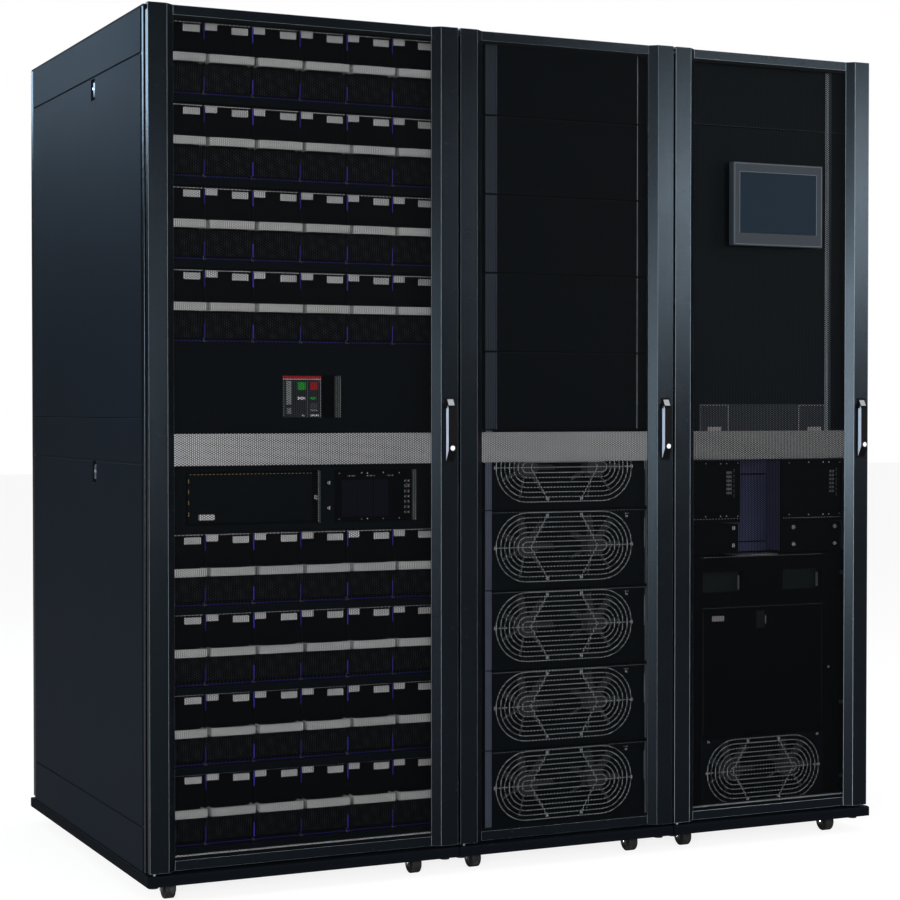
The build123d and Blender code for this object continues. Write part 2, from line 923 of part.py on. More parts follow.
# Power modules, each with two fan pockets in its face
stack_left = power_left + (power_width - power_module_width) / 2 + power_module_shift
stack_right = stack_left + power_module_width
power_fan_centre = (stack_left + stack_right) / 2 + power_fan_shift
power_face = front_face + power_module_setback
module_bottoms = [base_top + row * power_module_pitch for row in range(power_module_count)]
stack_top = base_top + power_module_count * power_module_pitch
power_body_height = power_module_pitch - stack_gap
fan_middles = [z + power_body_height / 2 + fan_rise for z in module_bottoms]
blank_stack_height = body_top - blank_top_gap - stack_top
blank_panel_pitch = (blank_stack_height + top_blank_trim) / (blank_panel_count + 1)
top_blank_height = blank_panel_pitch - top_blank_trim


def cut_fan_pockets(centre_x, face_y, centre_z, spacing, radius):
    for x in (centre_x - spacing / 2, centre_x + spacing / 2):
        with Locations((x, face_y + fan_pocket_depth / 2, centre_z)):
            Cylinder(radius, fan_pocket_depth, rotation=(90, 0, 0), mode=Mode.SUBTRACT)


with BuildPart() as power_modules:
    for z in module_bottoms:
        block(
            (stack_left, power_face, z),
            (stack_right, power_face + power_module_depth, z + power_body_height),
        )
    for z in fan_middles:
        cut_fan_pockets(power_fan_centre, power_face, z, fan_spacing, fan_pocket_radius)
finish(power_modules.part, "power_modules")

with BuildPart() as blanks:
    for row in range(blank_panel_count + 1):
        z = stack_top + row * blank_panel_pitch
        height = blank_panel_pitch - stack_gap if row < blank_panel_count else top_blank_height
        block(
            (stack_left, power_face, z),
            (stack_right, power_face + blank_panel_depth, z + height),
        )
finish(blanks.part, "power_blank_panels")

# Bypass switch module and the fan box under it
bypass_module_left = bypass_left + (bypass_width - bypass_module_width) / 2
bypass_module_right = bypass_module_left + bypass_module_width
bypass_centre = (bypass_module_left + bypass_module_right) / 2
bypass_face = front_face + bypass_module_setback
bypass_fan_middle = bypass_fan_bottom + bypass_fan_box_height / 2
with BuildPart() as bypass_module:
    block(
        (bypass_module_left, bypass_face, bypass_module_bottom),
        (bypass_module_right, bypass_face + bypass_module_depth, bypass_module_top),
    )
    for pull_left in (
        bypass_module_left + bypass_pull_inset,
        bypass_module_right - bypass_pull_inset - bypass_pull_width,
    ):
        block(
            (pull_left, bypass_face, bypass_pull_bottom),
            (
                pull_left + bypass_pull_width,
                bypass_face + bypass_pull_depth,
                bypass_pull_bottom + bypass_pull_height,
            ),
            mode=Mode.SUBTRACT,
        )
    catch_left = bypass_module_left + bypass_catch_left
    block(
        (catch_left, bypass_face, bypass_catch_bottom),
        (
            catch_left + bypass_catch_width,
            bypass_face + bypass_catch_depth,
            bypass_catch_bottom + bypass_catch_height,
        ),
        mode=Mode.SUBTRACT,
    )
finish(bypass_module.part, "bypass_switch_module")

with BuildPart() as fan_box:
    block(
        (bypass_module_left, bypass_face, bypass_fan_bottom),
        (
            bypass_module_right,
            bypass_face + bypass_module_depth,
            bypass_fan_bottom + bypass_fan_box_height,
        ),
    )
    cut_fan_pockets(
        bypass_centre, bypass_face, bypass_fan_middle, bypass_fan_spacing, bypass_fan_radius
    )
finish(fan_box.part, "bypass_fan_box")


# Fan rotors, on shafts that stand on the back of their pockets
def fan_rotor(tip_radius):
    with BuildPart() as rotor:
        Cylinder(fan_hub_radius, fan_hub_length)
        blade_length = tip_radius - fan_hub_radius + fan_blade_root
        with PolarLocations(0, fan_blade_count):
            with Locations(
                Location(
                    (fan_hub_radius - fan_blade_root + blade_length / 2, 0, 0),
                    (fan_blade_angle, 0, 0),
                )
            ):
                Box(blade_length, fan_blade_thickness, fan_blade_depth)
    return rotor.part


fan_groups = (
    (power_fan_centre, power_face, fan_spacing, fan_pocket_radius, fan_middles),
    (bypass_centre, bypass_face, bypass_fan_spacing, bypass_fan_radius, [bypass_fan_middle]),
)
with BuildPart() as rotors:
    for centre_x, face_y, spacing, radius, middles in fan_groups:
        rotor = fan_rotor(radius - fan_tip_gap)
        shaft_y = face_y + fan_pocket_depth - fan_hub_length / 2
        places = [
            Location((centre_x + side * spacing / 2, shaft_y, z), (90, 0, 0))
            for z in middles
            for side in (-1, 1)
        ]
        with Locations(*places):
            add(rotor)
finish(rotors.part, "fan_rotors")


# Wire guards: rounded rings one inside the other, cross wires and screw tabs, flat on the face
def guard_outline(width, height):
    with BuildSketch(Plane.XZ) as outline:
        for ring in range(guard_ring_count):
            ring_width = width - 2 * ring * guard_ring_pitch
            ring_height = height - 2 * ring * guard_ring_pitch
            SlotOverall(ring_width, ring_height)
            SlotOverall(
                ring_width - 2 * guard_wire, ring_height - 2 * guard_wire, mode=Mode.SUBTRACT
            )
        Rectangle(width, guard_wire)
        for x in (-guard_tab_spread, guard_tab_spread):
            with Locations((x, 0)):
                Rectangle(guard_wire, height)
        with Locations(*((x, y) for x in (-guard_tab_spread, guard_tab_spread)
                         for y in (-height / 2, height / 2)),
                       (-width / 2, 0), (width / 2, 0)):
            Rectangle(guard_tab, guard_tab)
    return outline.sketch


with BuildPart() as guards:
    for centre_x, face_y, width, height, middles in (
        (power_fan_centre, power_face, guard_width, guard_height, fan_middles),
        (bypass_centre, bypass_face, bypass_guard_width, bypass_guard_height, [bypass_fan_middle]),
    ):
        outline = guard_outline(width, height)
        with Locations(*((centre_x, face_y, z) for z in middles)):
            add(extrude(outline, amount=guard_wire, mode=Mode.PRIVATE))
finish(guards.part, "fan_guards")

# Cheek plates that fill the sides of the power stack and of the bypass modules
cheek_inner_left = power_left + post_inner
cheek_inner_right = power_left + power_width - post_inner
bypass_inner_left = bypass_left + post_inner
bypass_inner_right = bypass_left + bypass_width - post_inner
with BuildPart() as cheeks:
    for x_low, x_high, z_high in (
        (cheek_inner_left, stack_left, post_top - rail_height),
        (stack_right, cheek_inner_right, post_top - rail_height),
        (bypass_inner_left, bypass_module_left, bypass_module_top),
        (bypass_module_right, bypass_inner_right, bypass_module_top),
    ):
        block(
            (x_low, front_face + cheek_setback, base_top),
            (x_high, front_face + cheek_setback + cheek_thickness, z_high),
        )
finish(cheeks.part, "side_cheeks")

# Upper panels of the bypass cabinet and the label plate on the lower one
bypass_panel_front = front_face + bypass_panel_setback
with BuildPart() as upper_panels:
    for z_low, z_high in (
        (bypass_panel_bottom, bypass_panel_split - seam_gap),
        (bypass_panel_split + seam_gap, bypass_panel_top),
    ):
        block(
            (bypass_inner_left, bypass_panel_front, z_low),
            (bypass_inner_right, bypass_panel_front + bypass_panel_thickness, z_high),
        )
finish(upper_panels.part, "bypass_upper_panels")

with BuildPart() as label_plate:
    block(
        (bypass_left + label_plate_left, bypass_panel_front - label_plate_thickness,
         bypass_panel_bottom),
        (bypass_left + label_plate_left + label_plate_width, bypass_panel_front,
         bypass_panel_bottom + label_plate_height),
    )
finish(label_plate.part, "bypass_label_plate")

# Upright light rails: one on the left of each power module's face, and full ones beside the rest
with BuildPart() as light_rails:
    for z in module_bottoms:
        block(
            (power_left + left_rail_left, power_face - light_rail_thickness, z),
            (power_left + left_rail_left + left_rail_width, power_face, z + power_body_height),
        )
    for x, width, back, z_low, z_high in (
        (power_left + right_rail_left, right_rail_width, front_face + cheek_setback,
         base_top, post_top - rail_height),
        (bypass_left + bypass_rail_left, bypass_rail_width, bypass_panel_front,
         bypass_panel_bottom, bypass_panel_top),
    ):
        block((x, back - light_rail_thickness, z_low), (x + width, back, z_high))
finish(light_rails.part, "light_rails")

# Terminal bay of the bypass cabinet: a recessed back with side walls, and the boxes in it
bay_front = front_face + bay_front_setback
bay_back = front_face + bay_back_setback
with BuildPart() as bay:
    block((bypass_inner_left, bay_back, bay_bottom), (bypass_inner_right, bay_back + bay_wall, bay_top))
    for x in (bypass_inner_left, bypass_inner_right - bay_wall):
        block((x, bay_front, bay_bottom), (x + bay_wall, bay_back, bay_top))
finish(bay.part, "bypass_terminal_bay")

box_starts = (
    (bypass_inner_left + bay_wall, bay_left_box_width),
    (bypass_left + bay_right_box_left, bay_right_box_width),
)
with BuildPart() as bay_boxes:
    for x, width in box_starts:
        block(
            (x, front_face + bay_box_setback, bay_box_bottom),
            (x + width, bay_back, bay_box_bottom + bay_box_height),
        )
        block(
            (x, front_face + bay_block_setback, bay_bottom),
            (x + width, bay_back, bay_bottom + bay_block_height),
        )
finish(bay_boxes.part, "bypass_terminal_boxes")
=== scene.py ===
import json
import math

import bmesh
import bpy
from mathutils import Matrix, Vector


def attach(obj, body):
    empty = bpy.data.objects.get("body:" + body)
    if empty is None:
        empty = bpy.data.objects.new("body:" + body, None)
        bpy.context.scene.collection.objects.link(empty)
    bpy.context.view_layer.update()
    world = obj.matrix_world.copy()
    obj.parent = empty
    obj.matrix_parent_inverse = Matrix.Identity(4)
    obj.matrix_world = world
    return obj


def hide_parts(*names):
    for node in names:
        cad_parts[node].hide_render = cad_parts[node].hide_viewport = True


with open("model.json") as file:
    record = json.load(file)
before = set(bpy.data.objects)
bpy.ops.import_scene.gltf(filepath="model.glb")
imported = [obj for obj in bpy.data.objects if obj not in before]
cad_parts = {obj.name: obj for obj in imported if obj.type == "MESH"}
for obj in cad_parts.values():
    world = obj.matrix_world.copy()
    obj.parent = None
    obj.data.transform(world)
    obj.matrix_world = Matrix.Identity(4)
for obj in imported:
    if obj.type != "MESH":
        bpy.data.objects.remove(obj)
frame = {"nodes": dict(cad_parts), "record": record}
cadNodes = frame["nodes"]
record = frame["record"]
bodyOfNode = {node: body for body, group in record["behaviour"]["bodies"].items() for node in group}
slotOfNode = {row["node"]: row["material_slot"] for row in record["subparts"]}
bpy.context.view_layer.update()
mm = 0.001
rowLeft = -987.5  # left end of the row of cabinets, mm
doorFace = -528.0  # front plane of the doors, mm
cabinetStart = {"battery": 0.0, "power": 775.0, "bypass": 1375.0}
print("frame loaded with", len(cadNodes), "solids")


def at(u, v, z):
    # mm from the left end, mm behind the door face, mm above the floor
    return Vector(((rowLeft + u) * mm, (doorFace + v) * mm, z * mm))


# shader maths

class Value:
    def __init__(self, finish, socket):
        self.finish = finish
        self.socket = socket

    def maths(self, operation, *terms):
        return self.finish.add("ShaderNodeMath", {"operation": operation}, dict(enumerate(terms)))

    def __add__(self, other):
        return self.maths("ADD", self, other)

    def __radd__(self, other):
        return self.maths("ADD", other, self)

    def __sub__(self, other):
        return self.maths("SUBTRACT", self, other)

    def __rsub__(self, other):
        return self.maths("SUBTRACT", other, self)

    def __mul__(self, other):
        return self.maths("MULTIPLY", self, other)

    def __rmul__(self, other):
        return self.maths("MULTIPLY", other, self)

    def __truediv__(self, other):
        return self.maths("DIVIDE", self, other)

    def __gt__(self, other):
        return self.maths("GREATER_THAN", self, other)

    def __lt__(self, other):
        return self.maths("LESS_THAN", self, other)

    def fract(self):
        return self.maths("FRACT", self)

    def least(self, other):
        return self.maths("MINIMUM", self, other)

    def most(self, other):
        return self.maths("MAXIMUM", self, other)


class Finish:
    # one material while it is being made
    def __init__(self, name):
        self.material = bpy.data.materials.new(name)
        self.material.use_nodes = True
        self.tree = self.material.node_tree
        self.tree.nodes.clear()
        self.place = self.add("ShaderNodeTexCoord", output="Object")

    def add(self, kind, settings=None, sockets=None, output=0):
        node = self.tree.nodes.new(kind)
        for key, setting in (settings or {}).items():
            if key == "stops":
                for stop, (position, colour) in zip(node.color_ramp.elements, setting):
                    stop.position = position
                    stop.color = colour
            else:
                setattr(node, key, setting)
        for key, value in (sockets or {}).items():
            if isinstance(value, Value):
                self.tree.links.new(value.socket, node.inputs[key])
            else:
                node.inputs[key].default_value = value
        return Value(self, node.outputs[output])

    def axes(self):
        split = self.add("ShaderNodeSeparateXYZ", sockets={0: self.place})
        node = split.socket.node
        return [Value(self, node.outputs[i]) for i in range(3)]

    def noise(self, scale, detail=2.0, roughness=0.5):
        sockets = {"Vector": self.place, "Scale": scale, "Detail": detail, "Roughness": roughness}
        return self.add("ShaderNodeTexNoise", sockets=sockets)

    def stretched(self, scales, detail=2.0):
        # noise drawn out along one or two axes
        long = self.add("ShaderNodeVectorMath", {"operation": "MULTIPLY"}, {0: self.place, 1: scales})
        return self.add("ShaderNodeTexNoise", sockets={"Vector": long, "Scale": 1.0, "Detail": detail})

    def mix(self, factor, low, high):
        return self.add("ShaderNodeMix", {"data_type": "RGBA"}, {0: factor, 6: low, 7: high}, output=2)

    def bump(self, height, strength, distance):
        return self.add("ShaderNodeBump", sockets={"Height": height, "Strength": strength,
                                                   "Distance": distance})

    def surface(self, **sockets):
        named = {key.replace("_", " "): value for key, value in sockets.items()}
        shader = self.add("ShaderNodeBsdfPrincipled", sockets=named)
        self.out(shader)
        return self.material

    def out(self, shader):
        node = self.tree.nodes.new("ShaderNodeOutputMaterial")
        self.tree.links.new(shader.socket, node.inputs["Surface"])


def tone(r, g, b, a=1.0):
    return (r, g, b, a)


def lighter(colour, by):
    return tone(*(min(1.0, c * by) for c in colour[:3]))


# finishes

def powderCoat(name, colour, roughness, sheen=0.25, tint=(1.0, 1.0, 1.0, 1.0)):
    f = Finish(name)
    peel = f.noise(1400.0, 2.0)
    cloud = f.noise(2.6, 3.0)
    dust = f.noise(38.0, 4.0, 0.65)
    grain = f.noise(420.0, 2.0, 0.6)
    base = f.mix(cloud * 0.5 + grain * 0.5, lighter(colour, 0.7), lighter(colour, 1.6))
    base = f.mix((dust > 0.66) * 0.012, base, tone(0.25, 0.26, 0.27))
    return f.surface(Base_Color=base, Roughness=cloud * 0.10 + peel * 0.06 + (roughness - 0.08),
                     Normal=f.bump(peel, 0.10, 0.0004), Specular_IOR_Level=sheen, Specular_Tint=tint)


def moulded(name, colour, roughness, sheen=0.35, grain=900.0, depth=0.12):
    f = Finish(name)
    pores = f.noise(grain, 2.0)
    cloud = f.noise(9.0, 3.0)
    base = f.mix(cloud, lighter(colour, 0.88), lighter(colour, 1.14))
    return f.surface(Base_Color=base, Roughness=cloud * 0.12 + pores * 0.08 + (roughness - 0.10),
                     Normal=f.bump(pores, depth, 0.0004), Specular_IOR_Level=sheen)


def metal(name, colour, roughness, grain=(30.0, 30.0, 900.0), wear=0.15):
    f = Finish(name)
    lines = f.stretched(grain, 3.0)
    cloud = f.noise(16.0, 4.0)
    base = f.mix(cloud, lighter(colour, 1.0 - wear), lighter(colour, 1.0 + wear))
    return f.surface(Base_Color=base, Metallic=1.0, Normal=f.bump(lines, 0.08, 0.0003),
                     Roughness=lines * 0.16 + cloud * 0.08 + (roughness - 0.12))


def staggeredHoles(f, pitch, share):
    # 1 in the holes of a sheet with staggered round holes, 0 on its web
    x, y, z = f.axes()
    column = z / pitch
    row = x / (pitch * math.sqrt(3.0))
    spots = []
    for shift in (0.0, 0.5):
        across = (column + shift).fract() - 0.5
        along = ((row + shift).fract() - 0.5) * math.sqrt(3.0)
        spots.append(across * across + along * along)
    return spots[0].least(spots[1]) < share * share


def perforated(name, colour, pitch, share, zLow, zHigh, openness=1.0):
    # openness 0 paints the holes dark, as painted shade for the dark inside seen through them, on a sheet that
    # nothing shows behind
    f = Finish(name)
    x, y, z = f.axes()
    inside = (z > zLow) * (z < zHigh)
    holes = staggeredHoles(f, pitch, share) * inside
    cloud = f.noise(3.0, 3.0)
    peel = f.noise(1500.0, 2.0)
    base = f.mix(holes, f.mix(cloud, colour, lighter(colour, 1.3)), tone(0.0006, 0.0006, 0.0008))
    return f.surface(Base_Color=base, Roughness=cloud * 0.1 + peel * 0.06 + 0.42,
                     Alpha=1.0 - holes * openness, Normal=f.bump(peel, 0.08, 0.0003), Specular_IOR_Level=0.04)


def batteryPlastic(name, colour, rowBottom, rowPitch):
    # smooth upper face and a grille of fine dimples on the lower one
    f = Finish(name)
    x, y, z = f.axes()
    height = ((z - rowBottom * mm) / (rowPitch * mm)).fract() * rowPitch
    grille = (height > 11.0) * (height < 68.0) * (y < (doorFace + 76.0) * mm)
    dots = staggeredHoles(f, 6.5 * mm, 0.30)
    pores = f.noise(1000.0, 2.0)
    cloud = f.noise(7.0, 3.0)
    base = f.mix(cloud, colour, lighter(colour, 1.4))
    base = f.mix(grille * dots, base, tone(0.030, 0.034, 0.036))
    return f.surface(Base_Color=base, Roughness=cloud * 0.12 + 0.36,
                     Normal=f.bump(pores * 0.15 - grille * dots, 0.5, 0.0006), Specular_IOR_Level=0.04)


def glassFace(name, colour):
    f = Finish(name)
    cloud = f.noise(14.0, 3.0)
    base = f.mix(cloud, colour, lighter(colour, 1.15))
    return f.surface(Base_Color=base, Roughness=cloud * 0.05 + 0.42, Specular_IOR_Level=0.04,
                     Normal=f.bump(cloud, 0.02, 0.0004))


def tyreRubber(name, colour):
    f = Finish(name)
    pores = f.noise(700.0, 3.0)
    dust = f.noise(60.0, 4.0, 0.7)
    base = f.mix((dust > 0.6) * 0.25, colour, tone(0.10, 0.10, 0.10))
    return f.surface(Base_Color=base, Roughness=pores * 0.12 + 0.55, Normal=f.bump(pores, 0.3, 0.0006),
                     Specular_IOR_Level=0.3)


def stripCoat(name, leftColour, rightColour, split):
    # one colour left of split, another right of it
    f = Finish(name)
    x, y, z = f.axes()
    cloud = f.noise(9.0, 3.0)
    peel = f.noise(900.0, 2.0)
    base = f.mix(x > split, leftColour, rightColour)
    return f.surface(Base_Color=f.mix(cloud * 0.2, base, tone(0.0, 0.0, 0.0)), Roughness=cloud * 0.1 + 0.45,
                     Normal=f.bump(peel, 0.08, 0.0003), Specular_IOR_Level=0.08)


def ledgeCoat(name, faceColour, topColour, level):
    # a pale face under a dark upper edge
    f = Finish(name)
    x, y, z = f.axes()
    cloud = f.noise(20.0, 3.0)
    pores = f.noise(1200.0, 2.0)
    base = f.mix(z > level, f.mix(cloud, lighter(faceColour, 0.94), faceColour), topColour)
    return f.surface(Base_Color=base, Roughness=cloud * 0.1 + 0.45, Normal=f.bump(pores, 0.06, 0.0003),
                     Specular_IOR_Level=0.08)


def painted(name, colour, roughness=0.5):
    f = Finish(name)
    cloud = f.noise(30.0, 3.0)
    pores = f.noise(1200.0, 2.0)
    base = f.mix(cloud, lighter(colour, 0.9), lighter(colour, 1.08))
    return f.surface(Base_Color=base, Roughness=cloud * 0.1 + (roughness - 0.05),
                     Normal=f.bump(pores, 0.06, 0.0003), Specular_IOR_Level=0.08)


coat = {
    "colour": tone(0.0019, 0.0027, 0.0040),
    # painted light: the side panels and roof have the doors' black-blue coat, painted lighter and bluer for the
    # light falling on them
    "sideLitColour": tone(0.0050, 0.0078, 0.0128),
    "roughness": 0.27,
    "sheen": 0.22,
    "tint": tone(0.62, 0.82, 1.0),
    "holePitch": 5.3 * mm,
    "holeShare": 0.40,  # a hole's radius in pitches
    "sheetFoot": 100 * mm,
    "sheetTop": 2001 * mm,
    "railSplit": 1200.0,  # mm from the left end, between the cooler and the paler rails
    "ledgeTop": 101.2 * mm,
}
# the battery rows' foot and pitch in mm, shared by their finish and their labels
batteryRows = {"upper": (1273.0, 188.7), "lower": (112.0, 184.3)}
batteryBlack = tone(0.0016, 0.0018, 0.0027)
powderBlack = powderCoat("powderBlack", coat["colour"], coat["roughness"], coat["sheen"], coat["tint"])
# the doors' coat with painted light, lighter and bluer, for the side panels and roof
panelLitCoat = powderCoat("panelLitCoat", coat["sideLitColour"], 0.5, 0.04, coat["tint"])
skirtCoat = powderCoat("skirtCoat", coat["colour"], 0.6, 0.06, coat["tint"])
innerBlack = powderCoat("innerBlack", tone(0.0046, 0.0076, 0.0104), 0.6, 0.03)
# painted highlight: a pale coat on the door frames' rounded edges, standing in for the light those edges catch
edgeHighlightCoat = powderCoat("edgeHighlightCoat", tone(0.26, 0.31, 0.35), 0.34, 0.6, coat["tint"])
panelGrey = powderCoat("panelGrey", tone(0.0115, 0.0180, 0.0220), 0.55, 0.05)
deepBlack = powderCoat("deepBlack", tone(0.0014, 0.0016, 0.0024), 0.6, 0.03)
holedArea = (coat["holePitch"], coat["holeShare"], coat["sheetFoot"], coat["sheetTop"])
holedSheet = perforated("holedSheet", tone(0.0014, 0.0019, 0.0025), *holedArea)
# the rear doors' holes are painted shade, standing in for the dark inside
rearSheetHoleShade = perforated("rearSheetHoleShade", tone(0.0075, 0.0095, 0.0115), *holedArea, openness=0.0)
silverBand = metal("silverBand", tone(0.40, 0.41, 0.42), 0.45, (700.0, 30.0, 30.0), 0.08)
silverPlain = painted("silverPlain", tone(0.36, 0.38, 0.40), 0.4)
handleBlack = moulded("handleBlack", tone(0.004, 0.004, 0.005), 0.5, 0.06)
# painted reflection: the handle's chrome sides painted pale blue for the bright light they reflect
handleSideReflection = painted("handleSideReflection", tone(0.58, 0.68, 0.86), 0.3)
# painted reflection: the chrome lock face painted near white for the bright light it reflects
lockFaceReflection = painted("lockFaceReflection", tone(0.90, 0.91, 0.92), 0.3)
# zinc screw heads painted matt pale: partly the zinc's own pale tone, partly a painted highlight for the light
# their metal reflects
screwPaleHighlight = painted("screwPaleHighlight", tone(0.74, 0.77, 0.80), 0.35)
chrome = metal("chrome", tone(0.86, 0.87, 0.88), 0.14, (60.0, 60.0, 60.0), 0.04)
bezelBlack = moulded("bezelBlack", tone(0.026, 0.034, 0.043), 0.5, 0.12)
bezelEdge = moulded("bezelEdge", tone(0.09, 0.11, 0.13), 0.45, 0.12)
screenGlass = glassFace("screenGlass", tone(0.0060, 0.0147, 0.0247))
zinc = metal("zinc", tone(0.50, 0.52, 0.54), 0.36)
casterTread = tyreRubber("casterTread", tone(0.012, 0.012, 0.013))
footBlack = tyreRubber("footBlack", tone(0.014, 0.014, 0.015))
forkSteel = metal("forkSteel", tone(0.16, 0.18, 0.20), 0.40)
upperPlastic = batteryPlastic("upperPlastic", batteryBlack, *batteryRows["upper"])
lowerPlastic = batteryPlastic("lowerPlastic", batteryBlack, *batteryRows["lower"])
gripGrey = moulded("gripGrey", tone(0.88, 0.92, 0.93), 0.5, 0.15, 700.0, 0.08)
breakerGrey = moulded("breakerGrey", tone(0.022, 0.026, 0.038), 0.45)
sleeveGrey = powderCoat("sleeveGrey", tone(0.30, 0.34, 0.33), 0.5, 0.3)
guardWire = painted("guardWire", tone(0.64, 0.68, 0.70), 0.35)
fanGrey = moulded("fanGrey", tone(0.075, 0.084, 0.090), 0.36, 0.3)
paleSteel = metal("paleSteel", tone(0.72, 0.74, 0.74), 0.40, (600.0, 30.0, 30.0), 0.1)
railStrip = stripCoat("railStrip", tone(0.210, 0.240, 0.350), tone(0.42, 0.48, 0.52),
                      (rowLeft + coat["railSplit"]) * mm)
railGrey = powderCoat("railGrey", tone(0.060, 0.082, 0.104), 0.5, 0.08)
ledgePale = ledgeCoat("ledgePale", tone(0.92, 0.94, 0.96), tone(0.012, 0.014, 0.016), coat["ledgeTop"])
navyTrim = painted("navyTrim", tone(0.007, 0.007, 0.020))
recessGreen = powderCoat("recessGreen", tone(0.016, 0.024, 0.024), 0.5, 0.08)
bayViolet = powderCoat("bayViolet", tone(0.075, 0.080, 0.170), 0.5, 0.12)
plateGrey = powderCoat("plateGrey", tone(0.045, 0.055, 0.072), 0.5, 0.3)
stickerWhite = painted("stickerWhite", tone(0.98, 0.99, 1.0))
stickerPale = painted("stickerPale", tone(0.62, 0.58, 0.60))
violetTrim = painted("violetTrim", tone(0.085, 0.062, 0.60))
blueTrim = painted("blueTrim", tone(0.022, 0.016, 0.16))
goldTrim = painted("goldTrim", tone(0.40, 0.27, 0.10))
redTrim = painted("redTrim", tone(0.62, 0.03, 0.04))
greenTrim = painted("greenTrim", tone(0.04, 0.55, 0.06))
greyTrim = painted("greyTrim", tone(0.32, 0.34, 0.36))
print("finishes made:", len(bpy.data.materials))

# the solids as they come, in their finishes

finishOfNode = {
    "joining_brackets": deepBlack, "base_frames": deepBlack, "top_rails": deepBlack,
    "levelling_feet": footBlack, "door_pivots": zinc, "rear_door_meshes": rearSheetHoleShade,
    "battery_door_mesh": holedSheet, "power_door_mesh": holedSheet, "bypass_door_mesh": holedSheet,
    "battery_shelves": innerBlack, "battery_window_sleeves": deepBlack, "floor_ledges": ledgePale,
    "fan_rotors": fanGrey, "side_cheeks": deepBlack,
    "light_rails": railStrip, "bypass_terminal_bay": bayViolet,
    "upper_battery_modules": upperPlastic, "lower_battery_modules": lowerPlastic,
}
for cabinet in cabinetStart:
    finishOfNode[f"{cabinet}_door_band"] = silverBand
for node, material in finishOfNode.items():
    for slot in cadNodes[node].material_slots:
        slot.link = "OBJECT"  # the solid's own mesh stays as it is
        slot.material = material
print("plain solids finished:", len(finishOfNode))


# pieces made from meshes

def newPiece(name, mesh, body, slotName, *materials):
    if materials:
        mesh.materials.clear()
    for material in materials:
        mesh.materials.append(material)
    piece = bpy.data.objects.new(name, mesh)
    bpy.context.scene.collection.objects.link(piece)
    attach(piece, body)
    return piece


def settled(piece):
    # the modifiers' result as a plain mesh
    bpy.context.view_layer.update()
    graph = bpy.context.evaluated_depsgraph_get()
    mesh = bpy.data.meshes.new_from_object(piece.evaluated_get(graph), depsgraph=graph)
    bpy.data.objects.remove(piece)
    return mesh


def softened(node, name, material, width, segments=2, rounded=False, edgeMaterial=None):
    # a copy of a solid with its edges rounded, which stands for it
    mesh = cadNodes[node].data.copy()
    mesh.materials.clear()
    mesh.materials.append(material)
    if edgeMaterial:
        mesh.materials.append(edgeMaterial)
    work = bmesh.new()
    work.from_mesh(mesh)
    bmesh.ops.remove_doubles(work, verts=work.verts, dist=1e-5)
    bmesh.ops.dissolve_limit(work, angle_limit=math.radians(2.0), verts=work.verts, edges=work.edges)
    for face in work.faces:
        face.smooth = rounded
    work.to_mesh(mesh)
    work.free()
    draft = bpy.data.objects.new(name + "Draft", mesh)
    bpy.context.scene.collection.objects.link(draft)
    edges = draft.modifiers.new("edges", "BEVEL")
    edges.width = width * mm
    edges.segments = segments
    edges.limit_method = "ANGLE"
    edges.angle_limit = math.radians(30.0)
    edges.harden_normals = rounded
    edges.material = 1 if edgeMaterial else -1
    piece = newPiece(name, settled(draft), bodyOfNode[node], slotOfNode[node])
    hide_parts(node)
    return piece


softNodes = {
    "corner_posts": ("cornerPosts", powderBlack, 1.2),
    "roof_panels": ("roofPanels", panelLitCoat, 1.2),
    "front_and_rear_skirts": ("frontAndRearSkirts", skirtCoat, 1.5),
    "end_skirts": ("endSkirts", skirtCoat, 1.5),
    "left_side_panels": ("leftSidePanels", panelLitCoat, 1.0),
    "right_side_panels": ("rightSidePanels", panelLitCoat, 1.0),
    "side_panel_latches": ("sidePanelLatches", zinc, 0.8),
    "rear_door_frames": ("rearDoorFrames", powderBlack, 1.2),
    "display_bezel": ("displayBezel", bezelBlack, 1.6),
    "battery_switch_panel": ("batterySwitchPanel", innerBlack, 0.5),
    "battery_terminal_boxes": ("batteryTerminalBoxes", deepBlack, 1.0),
    "battery_breaker": ("batteryBreaker", breakerGrey, 1.0),
    "power_blank_panels": ("powerBlankPanels", innerBlack, 1.4),
    "power_modules": ("powerModules", innerBlack, 1.2),
    "bypass_switch_module": ("bypassSwitchModule", deepBlack, 1.2),
    "bypass_fan_box": ("bypassFanBox", innerBlack, 1.2),
    "bypass_upper_panels": ("bypassUpperPanels", panelGrey, 1.4),
    "bypass_label_plate": ("bypassLabelPlate", plateGrey, 0.8),
    "bypass_terminal_boxes": ("bypassTerminalBoxes", deepBlack, 1.2),
    "upper_battery_grips": ("upperBatteryGrips", gripGrey, 2.2),
    "lower_battery_grips": ("lowerBatteryGrips", gripGrey, 2.2),
    "caster_forks": ("casterForks", forkSteel, 0.8),
    "caster_wheels": ("casterWheels", casterTread, 0.5),
}
for cabinet in cabinetStart:
    softNodes[f"{cabinet}_door_frame"] = (f"{cabinet}DoorFrame", powderBlack, 2.8)
    softNodes[f"{cabinet}_handle_seat"] = (f"{cabinet}HandleSeat", handleBlack, 0.6)
    softNodes[f"{cabinet}_handle_lock"] = (f"{cabinet}HandleLock", lockFaceReflection, 0.5)
roundNodes = {"caster_forks", "caster_wheels", "side_panel_latches"}
roundNodes.update(f"{cabinet}_handle_lock" for cabinet in cabinetStart)
for node, (name, material, width) in softNodes.items():
    if node.endswith("_door_frame"):
        # the door frames' rounded edges take the painted edge highlight
        softened(node, name, material, width, segments=3, edgeMaterial=edgeHighlightCoat)
    else:
        softened(node, name, material, width, rounded=node in roundNodes)
print("softened pieces:", len(softNodes))


# geometry node trees for what repeats

